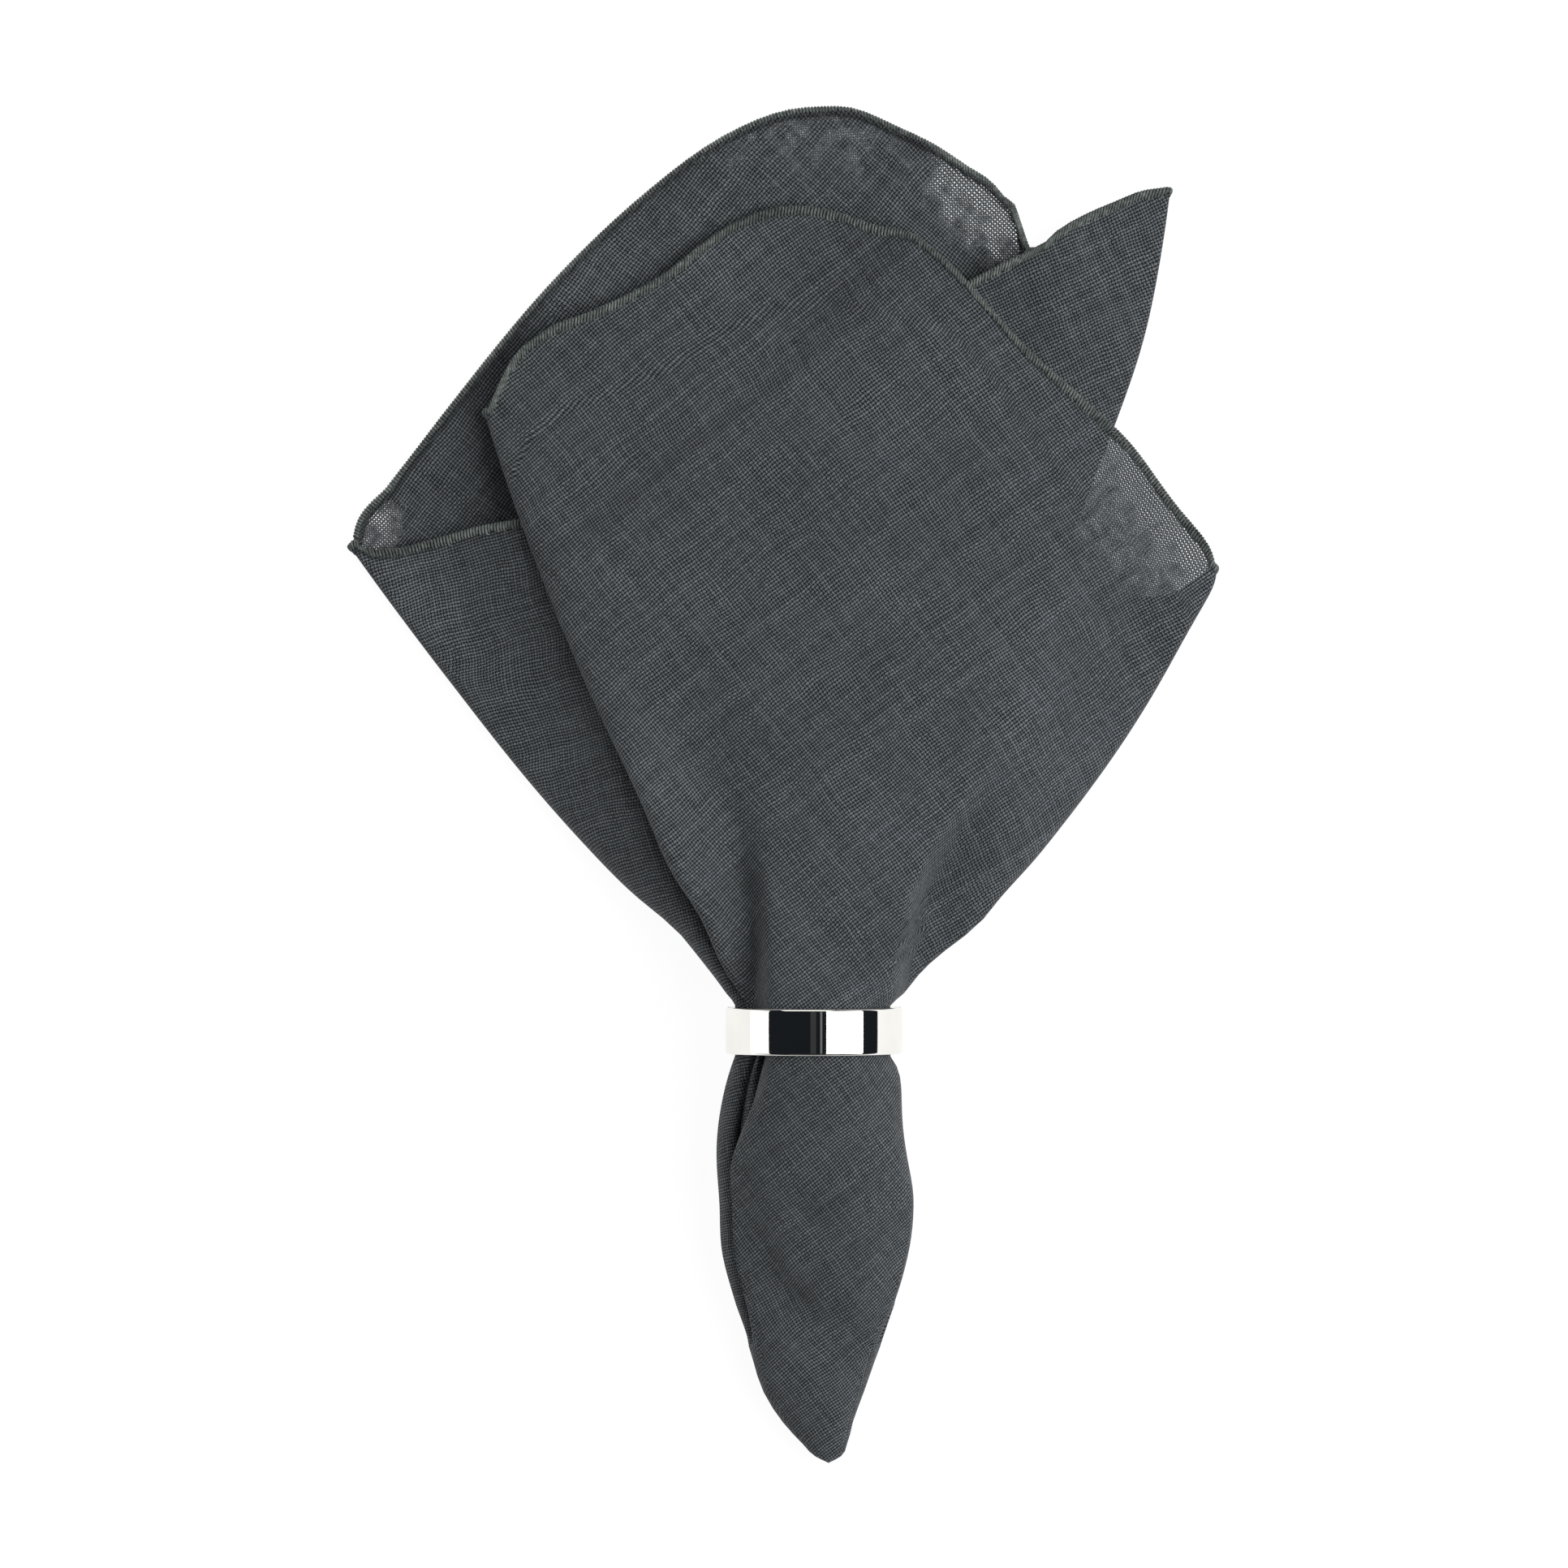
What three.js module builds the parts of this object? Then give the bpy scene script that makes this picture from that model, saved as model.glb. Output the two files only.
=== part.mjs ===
// Cloth napkin in a ring: a square linen napkin held by its middle, drawn through a flat metal band and
// fanned out, lying face up on a table.
// Millimetres, +Z up. The fan opens towards +Y, the tail points to -Y and the ring's axis lies along Y.

import * as THREE from "three";

// Ring: a short tube with eased edges, standing on one narrow facet
const RING_RADIUS = 21.8;
const RING_WALL = 1.3;
const RING_WIDTH = 11.4;
const RING_EASE = 0.45;
const RING_FACETS = 80;
const RING_AXIS_Z = RING_RADIUS * Math.cos(Math.PI / RING_FACETS);

// Cloth: thickness of the sheet, bead of its hem, and the space it keeps to the ring
const CLOTH = 1.0;
const HEM_BEAD = 1.5;
const HEM_BAND = 2.6;
const RING_GAP = 0.35;
const BUNDLE = RING_RADIUS - RING_WALL - RING_GAP - CLOTH / 2;

// The napkin runs back and forth in eight layers, level 0 on the table to level 7 in front.
// Each layer goes from one fold to the next, and the last one closes the loop round the tail.
const LAYERS = {
  back: { level: 0, from: "left", to: "rear" },
  inner: { level: 1, from: "rear", to: "low" },
  peakRear: { level: 2, from: "low", to: "peak" },
  peak: { level: 3, from: "peak", to: "middle" },
  under: { level: 4, from: "middle", to: "right" },
  front: { level: 7, from: "right", to: "face" },
  lining: { level: 6, from: "face", to: "high" },
  flap: { level: 5, from: "high", to: "left" },
};
const TOP_LEVEL = 7;

// Folds: side they lie on, levels they join, the same in the smooth tip, and how far up the hem they end
const FOLDS = {
  left: { side: -1, levels: [0, 5], tip: [0, 3.2], end: 118.6 },
  face: { side: -1, levels: [6, 7], tip: [5.3, 7], end: 152.6, corner: true },
  low: { side: -1, levels: [1, 2], tip: [2.1, 2.4], end: 128, hidden: true },
  middle: { side: -1, levels: [3, 4], tip: [3.9, 4.3], end: 143, hidden: true },
  high: { side: 1, levels: [5, 6], tip: [4.0, 4.4], end: 185, hidden: true },
  rear: { side: 1, levels: [0, 1], tip: [0, 1.5], end: 192.6, corner: true },
  peak: { side: 1, levels: [2, 3], tip: [2.9, 3.3], end: 207.8 },
  right: { side: 1, levels: [4, 7], tip: [5.0, 7], end: 114.5 },
};

// X of each fold line, one row per distance from the middle of the ring
const FOLD_ORDER = ["left", "face", "low", "middle", "high", "rear", "peak", "right"];
const FOLD_LINES = table(["y", ...FOLD_ORDER], [
  [0, -19.6, -15.6, -14.0, -11.0, 10.0, 12.0, 18.0, 19.6],
  [6.2, -19.6, -15.6, -14.0, -11.0, 10.0, 12.0, 18.0, 19.6],
  [9, -21.6, -18.2, -15.4, -11.6, 10.8, 13.4, 19.0, 22.8],
  [14, -25.4, -23.4, -18.5, -13.0, 12.5, 16.2, 21.5, 27.0],
  [30, -41.6, -31.0, -26.0, -17.5, 18.0, 23.0, 29.5, 43.6],
  [54, -64.2, -41.4, -38.0, -25.0, 26.0, 33.0, 39.5, 64.0],
  [86, -90.0, -56.3, -51.0, -33.5, 34.0, 43.5, 51.0, 85.6],
  [118, -113.8, -69.4, -59.0, -40.0, 38.5, 49.5, 62.2, 100.2],
  [152, -137.0, -81.2, -66.0, -45.0, 36.0, 52.5, 74.6, 112.0],
  [192, -164.0, -92.0, -74.0, -49.0, 23.0, 52.0, 85.4, 124.0],
  [230, -190.0, -102.0, -82.0, -53.0, 20.0, 51.0, 90.5, 134.0],
]);

// Hem of each layer between its two folds, from left to right
const HEM_LINES = {
  back: table(["x", "y"], [
    [-111.6, 125.6], [-105.4, 133.6], [-99, 141.6], [-92.8, 149.6], [-66.6, 181.6], [-41.8, 205.6],
    [-19.6, 221.6], [-6, 226.8], [6, 227.6], [23.2, 221.6], [37.6, 213.6], [47.6, 205.6], [51, 199.6],
  ]),
  inner: table(["x", "y"], [[-40, 133], [0, 145], [25, 160], [44, 181]]),
  peakRear: table(["x", "y"], [[-40, 142], [0, 163], [40, 182], [70, 197]]),
  peak: table(["x", "y"], [
    [-10, 160], [15, 172.5], [39, 184], [52.4, 191.6], [62.4, 197.6], [74.8, 204.2], [81.4, 207.2],
  ]),
  under: table(["x", "y"], [[-20, 134], [10, 121], [40, 110], [60, 105.5], [80, 105.5], [92, 108.5]]),
  front: table(["x", "y"], [
    [-76.2, 163.4], [-67.6, 171.4], [-54.2, 177.2], [-37.6, 185.8], [-21.2, 198], [-12.8, 201.8],
    [-4, 203], [4.2, 201.8], [15, 198], [24.6, 195.6], [37.4, 184], [50.6, 168.6], [67.2, 153.6],
    [78.8, 143], [89.6, 128.8], [97, 118],
  ]),
  lining: table(["x", "y"], [[-62, 158], [-30, 174], [0, 183], [14, 186]]),
  flap: table(["x", "y"], [
    [-110.6, 116.8], [-105.8, 117.2], [-95.2, 119.8], [-83, 123.2], [-73.8, 124.8], [-55, 128],
    [-34.6, 137], [-12, 157], [6, 172], [17, 180],
  ]),
};

// Tail seen from above: its left and right edge
const TAIL_TIP = { x: 3.6, y: -107, z: 5 };
const TAIL_EDGES = table(["y", "left", "right"], [
  [-107, 3.6, 3.6],
  [-105.5, 0.6, 6.4],
  [-102.4, -2.6, 8.0],
  [-96.4, -8.0, 9.6],
  [-90.4, -11.8, 11.8],
  [-78.4, -15.8, 16.0],
  [-66.4, -19.8, 20.8],
  [-54.4, -22.9, 23.4],
  [-42.4, -23.5, 24.0],
  [-30.4, -24.2, 22.8],
  [-18.4, -23.0, 21.6],
  [-9, -20.6, 20.2],
  [-6.2, -19.6, 19.6],
  [0, -19.6, 19.6],
]);

// Stack of all eight layers: where its lowest sheet runs and how much higher its highest one is
const STACK = table(["y", "base", "height"], [
  [-107, 5, 0],
  [-105.5, 3.4, 4],
  [-102.4, 2.2, 7],
  [-96.4, 0.9, 10.5],
  [-90.4, 0.5, 13.5],
  [-78.4, 0.5, 18],
  [-66.4, 0.5, 22.5],
  [-54.4, 0.5, 26.5],
  [-42.4, 0.5, 30],
  [-30.4, 0.5, 33],
  [-18.4, 0.5, 36],
  [-9, 1.9, 38.6],
  [-6.2, RING_AXIS_Z - BUNDLE, 2 * BUNDLE],
  [6.2, RING_AXIS_Z - BUNDLE, 2 * BUNDLE],
  [9, 1.9, 38.8],
  [14, 1.1, 37.5],
  [22, 0.5, 34.6],
  [30, 0.5, 31.5],
  [54, 0.5, 26.5],
  [86, 0.5, 22],
  [118, 0.5, 19],
  [152, 0.5, 17],
  [192, 0.5, 15.5],
  [230, 0.5, 14.7],
]);

// Soft ridges and troughs, each along a line. A slope is lower on the right-hand side of its line,
// going from its start to its end. They lift or lower the named layer and those in front of it.
const RELIEF = [
  { name: "roll of the front's left fold", layer: "front", kind: "ridge", height: 3.2, width: 9,
    line: [[-27, 24], [-42, 60], [-59, 100], [-74, 142]] },
  { name: "roll of the flap's left fold", layer: "flap", kind: "ridge", height: 1.6, width: 8,
    line: [[-50, 46], [-80, 80], [-104, 112]] },
  { name: "roll of the front's right fold", layer: "front", kind: "ridge", height: 1.4, width: 9,
    line: [[44, 40], [70, 72], [90, 104]] },
  { name: "left gather above the ring", layer: "front", kind: "slope", height: -2.6, width: 7,
    line: [[-12, 10], [-12, 26], [-14.6, 54], [-18, 84]], side: -1 },
  { name: "right gather above the ring", layer: "front", kind: "slope", height: -2.2, width: 8,
    line: [[18, 8], [23, 24.4], [32.2, 43.4], [38.4, 56], [51.4, 83.6]], side: 1 },
  { name: "rise over the middle of the front", layer: "front", kind: "ridge", height: 1.6, width: 16,
    line: [[4, 30], [10, 80], [6, 130]] },
  { name: "left ridge below the ring", layer: "front", kind: "slope", height: -2.2, width: 5,
    line: [[-20, -38], [-17.6, -27], [-13.6, -20], [-12.6, -8]], side: -1 },
  { name: "right ridge below the ring", layer: "front", kind: "slope", height: -1.8, width: 4.5,
    line: [[21, -44], [18, -36], [16.5, -26], [16, -8]], side: 1 },
  { name: "slanting crease of the tail", layer: "front", kind: "ridge", height: -1.6, width: 5,
    line: [[-21.4, -37.4], [-13.2, -45], [-4.8, -57.2], [4, -68], [16.8, -72.4]] },
];
const RELIEF_SPREAD = 20;

// How the layers settle: the roundest a tall fold gets, how far a layer overlaps the edge of one
// below it before it sinks, how long that slope is, and where the round bundle has become a flat stack
const FOLD_RADIUS = 5;
const OVERLAP = 2;
const SETTLE = 42;
const ROUND_UNTIL = { ring: 6.2, flat: 44 };
const PLEATS_FADE = { deep: -55, gone: -78 };

// Mesh: extra lines between neighbouring folds, steps round a short and a tall fold, and rows
const EXTRA_LINES = [2, 0, 0, 3, 1, 0, 2];
const SHORT_FOLD_STEPS = 4;
const TALL_FOLD_STEPS = 6;
const TAIL_ROWS = [-104.2, -99, -90, -78, -68, -61, -53, -38, -20, -6.2];
const NEAR_ROWS = [6.2, 10, 17, 26, 38];
const FAR_ROWS = 10;

// Tables and smooth steps
function table(columns, rows) {
  const made = {};
  columns.forEach((column, i) => (made[column] = rows.map((row) => row[i])));
  return made;
}

// Smooth curve through a table's column, straight past its ends
function along(t, key, column, at) {
  const a = t[key];
  const v = t[column];
  const last = a.length - 1;
  const slope = (i) => (v[i + 1] - v[i]) / (a[i + 1] - a[i]);
  const tangent = (i) => {
    if (i === 0) return slope(0);
    if (i === last) return slope(last - 1);
    const before = slope(i - 1);
    const after = slope(i);
    if (before * after <= 0) return 0;
    const h0 = a[i] - a[i - 1];
    const h1 = a[i + 1] - a[i];
    const mean = (before * h1 + after * h0) / (h0 + h1);
    return Math.sign(mean) * Math.min(Math.abs(mean), 3 * Math.min(Math.abs(before), Math.abs(after)));
  };
  if (at <= a[0]) return v[0] + (at - a[0]) * clamp(tangent(0), -1.2, 1.2);
  if (at >= a[last]) return v[last] + (at - a[last]) * clamp(tangent(last), -1.2, 1.2);
  let i = 0;
  while (at > a[i + 1]) i++;
  const h = a[i + 1] - a[i];
  const s = (at - a[i]) / h;
  return (
    (2 * s ** 3 - 3 * s ** 2 + 1) * v[i] +
    (s ** 3 - 2 * s ** 2 + s) * h * tangent(i) +
    (-2 * s ** 3 + 3 * s ** 2) * v[i + 1] +
    (s ** 3 - s ** 2) * h * tangent(i + 1)
  );
}

function clamp(x, low, high) {
  return Math.min(high, Math.max(low, x));
}

function mix(a, b, share) {
  return a + (b - a) * share;
}

// 0 up to low, 1 from high on
function rise(x, low, high) {
  const s = clamp((x - low) / (high - low), 0, 1);
  return s * s * (3 - 2 * s);
}

// As rise, with a gentler start and finish
function easyRise(x, low, high) {
  const s = clamp((x - low) / (high - low), 0, 1);
  return s ** 3 * (s * (6 * s - 15) + 10);
}

// Plan of the fan
function foldX(fold, y) {
  return along(FOLD_LINES, "y", fold, y);
}

// A line of the fan: whole numbers are the folds in their order, the rest lie between two of them
function lineX(line, y) {
  const i = Math.min(Math.floor(line), FOLD_ORDER.length - 2);
  return mix(foldX(FOLD_ORDER[i], y), foldX(FOLD_ORDER[i + 1], y), line - i);
}

for (const [name, layer] of Object.entries(LAYERS)) {
  const ends = [layer.from, layer.to].map((f) => ({ fold: f, x: foldX(f, FOLDS[f].end), y: FOLDS[f].end }));
  const [leftEnd, rightEnd] = FOLDS[layer.from].side < 0 ? ends : ends.reverse();
  const hem = HEM_LINES[name];
  layer.leftFold = leftEnd.fold;
  layer.rightFold = rightEnd.fold;
  layer.hem = { x: [leftEnd.x, ...hem.x, rightEnd.x], y: [leftEnd.y, ...hem.y, rightEnd.y] };
}
const LAYER_AT_LEVEL = [];
for (const layer of Object.values(LAYERS)) LAYER_AT_LEVEL[layer.level] = layer;

function hemY(layer, x) {
  return along(layer.hem, "x", "y", x);
}

// Where a line of the fan meets a layer's hem
function hemOnLine(layer, line) {
  let low = 20;
  let high = 260;
  for (let i = 0; i < 40; i++) {
    const y = (low + high) / 2;
    if (hemY(layer, lineX(line, y)) > y) low = y;
    else high = y;
  }
  return (low + high) / 2;
}

// Stack of the fan
function roundness(y) {
  return y < 0 ? 1 : 1 - rise(y, ROUND_UNTIL.ring, ROUND_UNTIL.flat);
}

// 1 where a layer lies, falling to 0 a little way past its folds and hem
function presence(layer, x, y) {
  const step = (inside) => easyRise(inside, -OVERLAP - SETTLE, -OVERLAP);
  const there =
    step(x - foldX(layer.leftFold, y)) * step(foldX(layer.rightFold, y) - x) * step(hemY(layer, x) - y);
  return 1 - (1 - there) * (1 - roundness(y));
}

function stackZ(level, x, y) {
  const pitch = along(STACK, "y", "height", y) / TOP_LEVEL;
  let z = along(STACK, "y", "base", y);
  for (let j = 0; j < level; j++) z += pitch * presence(LAYER_AT_LEVEL[j], x, y);
  return z;
}

function halfWidth(y) {
  const left = y < 0 ? along(TAIL_EDGES, "y", "left", y) : foldX("left", y);
  const right = y < 0 ? along(TAIL_EDGES, "y", "right", y) : foldX("right", y);
  return { half: (right - left) / 2, centre: (left + right) / 2 };
}

// Turns the square section of the stack into a round one in the ring and the tail. The level for x is
// the point's own, or its fold's middle one where the two layers of a corner fold end side by side.
function roundOff(x, y, z, levelForX) {
  const { half, centre } = halfWidth(y);
  const height = along(STACK, "y", "height", y);
  const base = along(STACK, "y", "base", y);
  const round = roundness(y);
  const up = (2 * (z - base)) / height - 1;
  const upForX = (2 * levelForX) / TOP_LEVEL - 1;
  const own = Math.sqrt(1 - (round * Math.min(up * up, 1)) / 2);
  const shared = Math.sqrt(1 - (round * upForX * upForX) / 2);
  const across = (((x - centre) / half) * shared) / own;
  const limited = round > 0 ? clamp(across, -1, 1) : across;
  const edge = clamp(across, -1, 1);
  return {
    x: centre + half * own * mix(across, limited, round),
    y,
    z: base + height / 2 + (height / 2) * up * Math.sqrt(1 - (round * edge * edge) / 2),
  };
}

// Level a layer's end takes for its x at one of its folds, where the layers are this far parted
function levelAtFold(name, ownLevel, levels, parted) {
  return FOLDS[name].corner ? mix(ownLevel, (levels[0] + levels[1]) / 2, parted) : ownLevel;
}

// Nearest point of a relief line: signed distance, right-hand side positive, and share along it
function nearLine(line, x, y) {
  let best = { distance: Infinity, side: 1, share: 0 };
  for (let i = 0; i + 1 < line.length; i++) {
    const [ax, ay] = line[i];
    const dx = line[i + 1][0] - ax;
    const dy = line[i + 1][1] - ay;
    const t = clamp(((x - ax) * dx + (y - ay) * dy) / (dx * dx + dy * dy), 0, 1);
    const distance = Math.hypot(x - ax - t * dx, y - ay - t * dy);
    if (distance < best.distance) {
      const side = (x - ax) * dy - (y - ay) * dx >= 0 ? 1 : -1;
      best = { distance, side, share: (i + t) / (line.length - 1) };
    }
  }
  return best;
}

function reliefZ(level, x, y) {
  let z = 0;
  for (const row of RELIEF) {
    const own = LAYERS[row.layer].level;
    const weight = clamp((level - own + 2) / 2, 0, 1);
    if (weight === 0) continue;
    const near = nearLine(row.line, x, y);
    const ends = rise(near.share, 0, 0.2) * rise(1 - near.share, 0, 0.25);
    let shape = Math.exp(-((near.distance / row.width) ** 2));
    if (row.kind === "slope") {
      const inside = near.distance * near.side * row.side;
      shape = rise(inside, -row.width / 2, row.width) * (1 - rise(inside, RELIEF_SPREAD / 2, RELIEF_SPREAD));
    }
    z += weight * row.height * ends * shape;
  }
  return z;
}

// A fold in the fan: middle of its arc, outward direction, radius, and heights of its two layers
function foldInFan(name, y) {
  const { side, levels } = FOLDS[name];
  const lean = foldX(name, y + 0.5) - foldX(name, y - 0.5);
  const length = Math.hypot(1, lean);
  const out = { x: side / length, y: ((-side * lean) / length) * rise(y, ROUND_UNTIL.ring, 40) };
  const edge = { x: foldX(name, y), y };
  const apart = stackZ(levels[1], edge.x, edge.y) - stackZ(levels[0], edge.x, edge.y);
  const radius = Math.min(apart / 2, FOLD_RADIUS);
  const x = edge.x - radius * out.x;
  const yIn = edge.y - radius * out.y;
  const z = levels.map((level) => stackZ(level, x, yIn));
  const further = levels.map((level) => stackZ(level, x + 0.5 * out.x, yIn + 0.5 * out.y));
  const nearer = levels.map((level) => stackZ(level, x - 0.5 * out.x, yIn - 0.5 * out.y));
  const slope = (further[0] + further[1] - nearer[0] - nearer[1]) / 2;
  return { x, y: yIn, out, radius, z, slope };
}

function fanPoint(station, y) {
  let x, yAt, z, level, levelForX;
  if (station.fold) {
    const f = foldInFan(station.fold, y);
    const [low, high] = FOLDS[station.fold].levels;
    const outwards = f.radius * Math.cos(station.turn);
    const upwards = Math.sin(station.turn);
    x = f.x + outwards * f.out.x;
    yAt = f.y + outwards * f.out.y;
    z = mix(f.z[0], f.z[1], (1 + upwards) / 2) + outwards * f.slope;
    level = mix(low, high, (1 + upwards) / 2);
    levelForX = levelAtFold(station.fold, level, [low, high], 1);
  } else {
    const { layer } = station;
    const x0 = lineX(station.line, y);
    const share = (x0 - foldX(layer.from, y)) / (foldX(layer.to, y) - foldX(layer.from, y));
    const a = foldInFan(layer.from, y);
    const b = foldInFan(layer.to, y);
    x = x0 - mix(a.radius * a.out.x, b.radius * b.out.x, share);
    yAt = y - mix(a.radius * a.out.y, b.radius * b.out.y, share);
    level = layer.level;
    z = stackZ(level, x, yAt);
    levelForX = mix(
      levelAtFold(layer.from, level, FOLDS[layer.from].levels, 1),
      levelAtFold(layer.to, level, FOLDS[layer.to].levels, 1),
      share,
    );
  }
  const p = roundOff(x, yAt, z, levelForX);
  p.z += reliefZ(level, p.x, p.y);
  return p;
}

// The tail: the same loop in a round section, its pleats running out towards the smooth tip
function foldInTail(name, y) {
  const { side, levels, tip, hidden, corner } = FOLDS[name];
  const pleats = rise(y, PLEATS_FADE.gone, PLEATS_FADE.deep);
  const parted = 1 - (1 - pleats) ** 2.5;
  const { half } = halfWidth(y);
  const height = along(STACK, "y", "height", y);
  const low = mix(tip[0], levels[0], parted);
  const high = mix(tip[1], levels[1], parted);
  const radius = (parted * Math.min(((high - low) / 2 / TOP_LEVEL) * height, FOLD_RADIUS)) / half;
  const edge = mix(hidden ? -side : side, foldX(name, 0) / foldX("right", 0), corner ? parted : pleats);
  return { x: edge - side * radius, radius: side * radius, levels: [low, high], parted };
}

function tailPoint(station, y) {
  let across, level, levelForX;
  if (station.fold) {
    const f = foldInTail(station.fold, y);
    across = f.x + f.radius * Math.cos(station.turn);
    level = mix(f.levels[0], f.levels[1], (1 + Math.sin(station.turn)) / 2);
    levelForX = levelAtFold(station.fold, level, f.levels, f.parted);
  } else {
    const { layer } = station;
    const ends = [layer.from, layer.to].map((name) => {
      const f = foldInTail(name, y);
      const own = f.levels[FOLDS[name].levels.indexOf(layer.level)];
      return { x: f.x, level: own, forX: levelAtFold(name, own, f.levels, f.parted), plan: foldX(name, 0) };
    });
    const share = (lineX(station.line, 0) - ends[0].plan) / (ends[1].plan - ends[0].plan);
    across = mix(ends[0].x, ends[1].x, share);
    level = mix(ends[0].level, ends[1].level, share);
    levelForX = mix(ends[0].forX, ends[1].forX, share);
  }
  const { half, centre } = halfWidth(y);
  const up = (level / TOP_LEVEL) * along(STACK, "y", "height", y) + along(STACK, "y", "base", y);
  const p = roundOff(centre + half * across, y, up, levelForX);
  p.z += reliefZ(level, p.x, p.y);
  return p;
}

// Stations round the loop: each layer's lines from one fold to the next, then the steps of that fold
function stationsOf() {
  const lines = [];
  FOLD_ORDER.forEach((_, i) => {
    lines.push(i);
    const extra = EXTRA_LINES[i] ?? 0;
    for (let j = 1; j <= extra; j++) lines.push(i + j / (extra + 1));
  });
  const stations = [];
  for (const layer of Object.values(LAYERS)) {
    const start = FOLD_ORDER.indexOf(layer.from);
    const stop = FOLD_ORDER.indexOf(layer.to);
    const inside = lines.filter((l) => l > Math.min(start, stop) && l < Math.max(start, stop));
    if (start > stop) inside.reverse();
    for (const line of inside) stations.push({ layer, line, end: hemOnLine(layer, line) });
    const fold = FOLDS[layer.to];
    const steps = fold.levels[1] - fold.levels[0] > 1 ? TALL_FOLD_STEPS : SHORT_FOLD_STEPS;
    const upwards = fold.levels[0] === layer.level ? 1 : -1;
    for (let k = 0; k <= steps; k++) {
      const turn = upwards * (-Math.PI / 2 + (Math.PI * k) / steps);
      stations.push({ fold: layer.to, turn, end: fold.end });
    }
  }
  return stations;
}

// Middle surface of the sheet, row by row from the tip to the hem, with half its thickness there
function clothRows(stations) {
  const rows = [];
  const half = CLOTH / 2;
  for (const y of TAIL_ROWS) rows.push({ half, points: stations.map((s) => tailPoint(s, y)) });
  for (const y of NEAR_ROWS) rows.push({ half, points: stations.map((s) => fanPoint(s, y)) });
  const start = NEAR_ROWS[NEAR_ROWS.length - 1];
  for (let j = 1; j <= FAR_ROWS; j++) {
    const points = stations.map((s) => fanPoint(s, mix(start, s.end - HEM_BAND, j / FAR_ROWS)));
    rows.push({ half, points });
  }
  const bead = stations.map((s) => fanPoint(s, s.end - HEM_BAND / 2));
  for (const p of bead) p.z += (HEM_BEAD - CLOTH) / 2;
  rows.push({ half: HEM_BEAD / 2, points: bead });
  rows.push({ half, points: stations.map((s) => fanPoint(s, s.end)) });
  return rows;
}

function napkinGeometry() {
  const rows = clothRows(stationsOf());
  const around = rows[0].points.length;
  const tip = new THREE.Vector3(TAIL_TIP.x, TAIL_TIP.y, TAIL_TIP.z);
  const point = (j, i) => {
    const p = rows[j].points[(i + around) % around];
    return new THREE.Vector3(p.x, p.y, p.z);
  };
  const positions = [];
  const faces = [];
  const add = (v) => positions.push(v.x, v.y, v.z) / 3 - 1;
  const outer = [];
  const inner = [];
  rows.forEach((row, j) => {
    outer.push([]);
    inner.push([]);
    for (let i = 0; i < around; i++) {
      const round = point(j, i + 1).sub(point(j, i - 1));
      const ahead = point(Math.min(j + 1, rows.length - 1), i);
      const behind = j === 0 ? tip.clone() : point(j - 1, i);
      const out = ahead.sub(behind).cross(round).normalize();
      outer[j].push(add(point(j, i).addScaledVector(out, row.half)));
      inner[j].push(add(point(j, i).addScaledVector(out, -row.half)));
    }
  });
  const outerTip = add(tip.clone().add(new THREE.Vector3(0, -CLOTH / 2, 0)));
  const innerTip = add(tip.clone().add(new THREE.Vector3(0, CLOTH / 2, 0)));
  for (let i = 0; i < around; i++) {
    const k = (i + 1) % around;
    faces.push(outerTip, outer[0][i], outer[0][k], innerTip, inner[0][k], inner[0][i]);
    for (let j = 0; j + 1 < rows.length; j++) {
      const [a, b, c, d] = [outer[j][i], outer[j][k], outer[j + 1][k], outer[j + 1][i]];
      const [e, f, g, h] = [inner[j][i], inner[j][k], inner[j + 1][k], inner[j + 1][i]];
      faces.push(a, d, c, a, c, b, e, g, h, e, f, g);
    }
    const j = rows.length - 1;
    faces.push(outer[j][i], inner[j][i], inner[j][k], outer[j][i], inner[j][k], outer[j][k]);
  }
  const geometry = new THREE.BufferGeometry();
  geometry.setAttribute("position", new THREE.Float32BufferAttribute(positions, 3));
  geometry.setIndex(faces);
  geometry.computeVertexNormals();
  return geometry;
}

function ringGeometry() {
  const bore = RING_RADIUS - RING_WALL;
  const end = RING_WIDTH / 2;
  const ease = RING_EASE;
  const profile = [
    [bore, -end + ease], [bore, end - ease], [bore + 0.3 * ease, end - 0.3 * ease],
    [bore + ease, end], [RING_RADIUS - ease, end], [RING_RADIUS - 0.3 * ease, end - 0.3 * ease],
    [RING_RADIUS, end - ease], [RING_RADIUS, -end + ease], [RING_RADIUS - 0.3 * ease, 0.3 * ease - end],
    [RING_RADIUS - ease, -end], [bore + ease, -end], [bore + 0.3 * ease, 0.3 * ease - end],
    [bore, -end + ease],
  ].map(([radius, y]) => new THREE.Vector2(radius, y)).reverse();
  const geometry = new THREE.LatheGeometry(profile, RING_FACETS, Math.PI / RING_FACETS);
  return geometry.translate(0, 0, RING_AXIS_Z);
}

const linen = new THREE.MeshStandardMaterial({ name: "linen", color: 0x484b4f, roughness: 0.95 });
const metal = new THREE.MeshStandardMaterial({ name: "metal", color: 0xd8d8d4, roughness: 0.12, metalness: 1 });

const napkin = new THREE.Mesh(napkinGeometry(), linen);
napkin.name = "napkin";
const ring = new THREE.Mesh(ringGeometry(), metal);
ring.name = "ring";

const group = new THREE.Group();
group.add(napkin, ring);

// Origin under the middle of the whole object
const box = new THREE.Box3().setFromObject(group);
const shift = new THREE.Vector3(-(box.min.x + box.max.x) / 2, -(box.min.y + box.max.y) / 2, -box.min.z);
for (const mesh of [napkin, ring]) mesh.geometry.translate(shift.x, shift.y, shift.z);

export default group;
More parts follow.
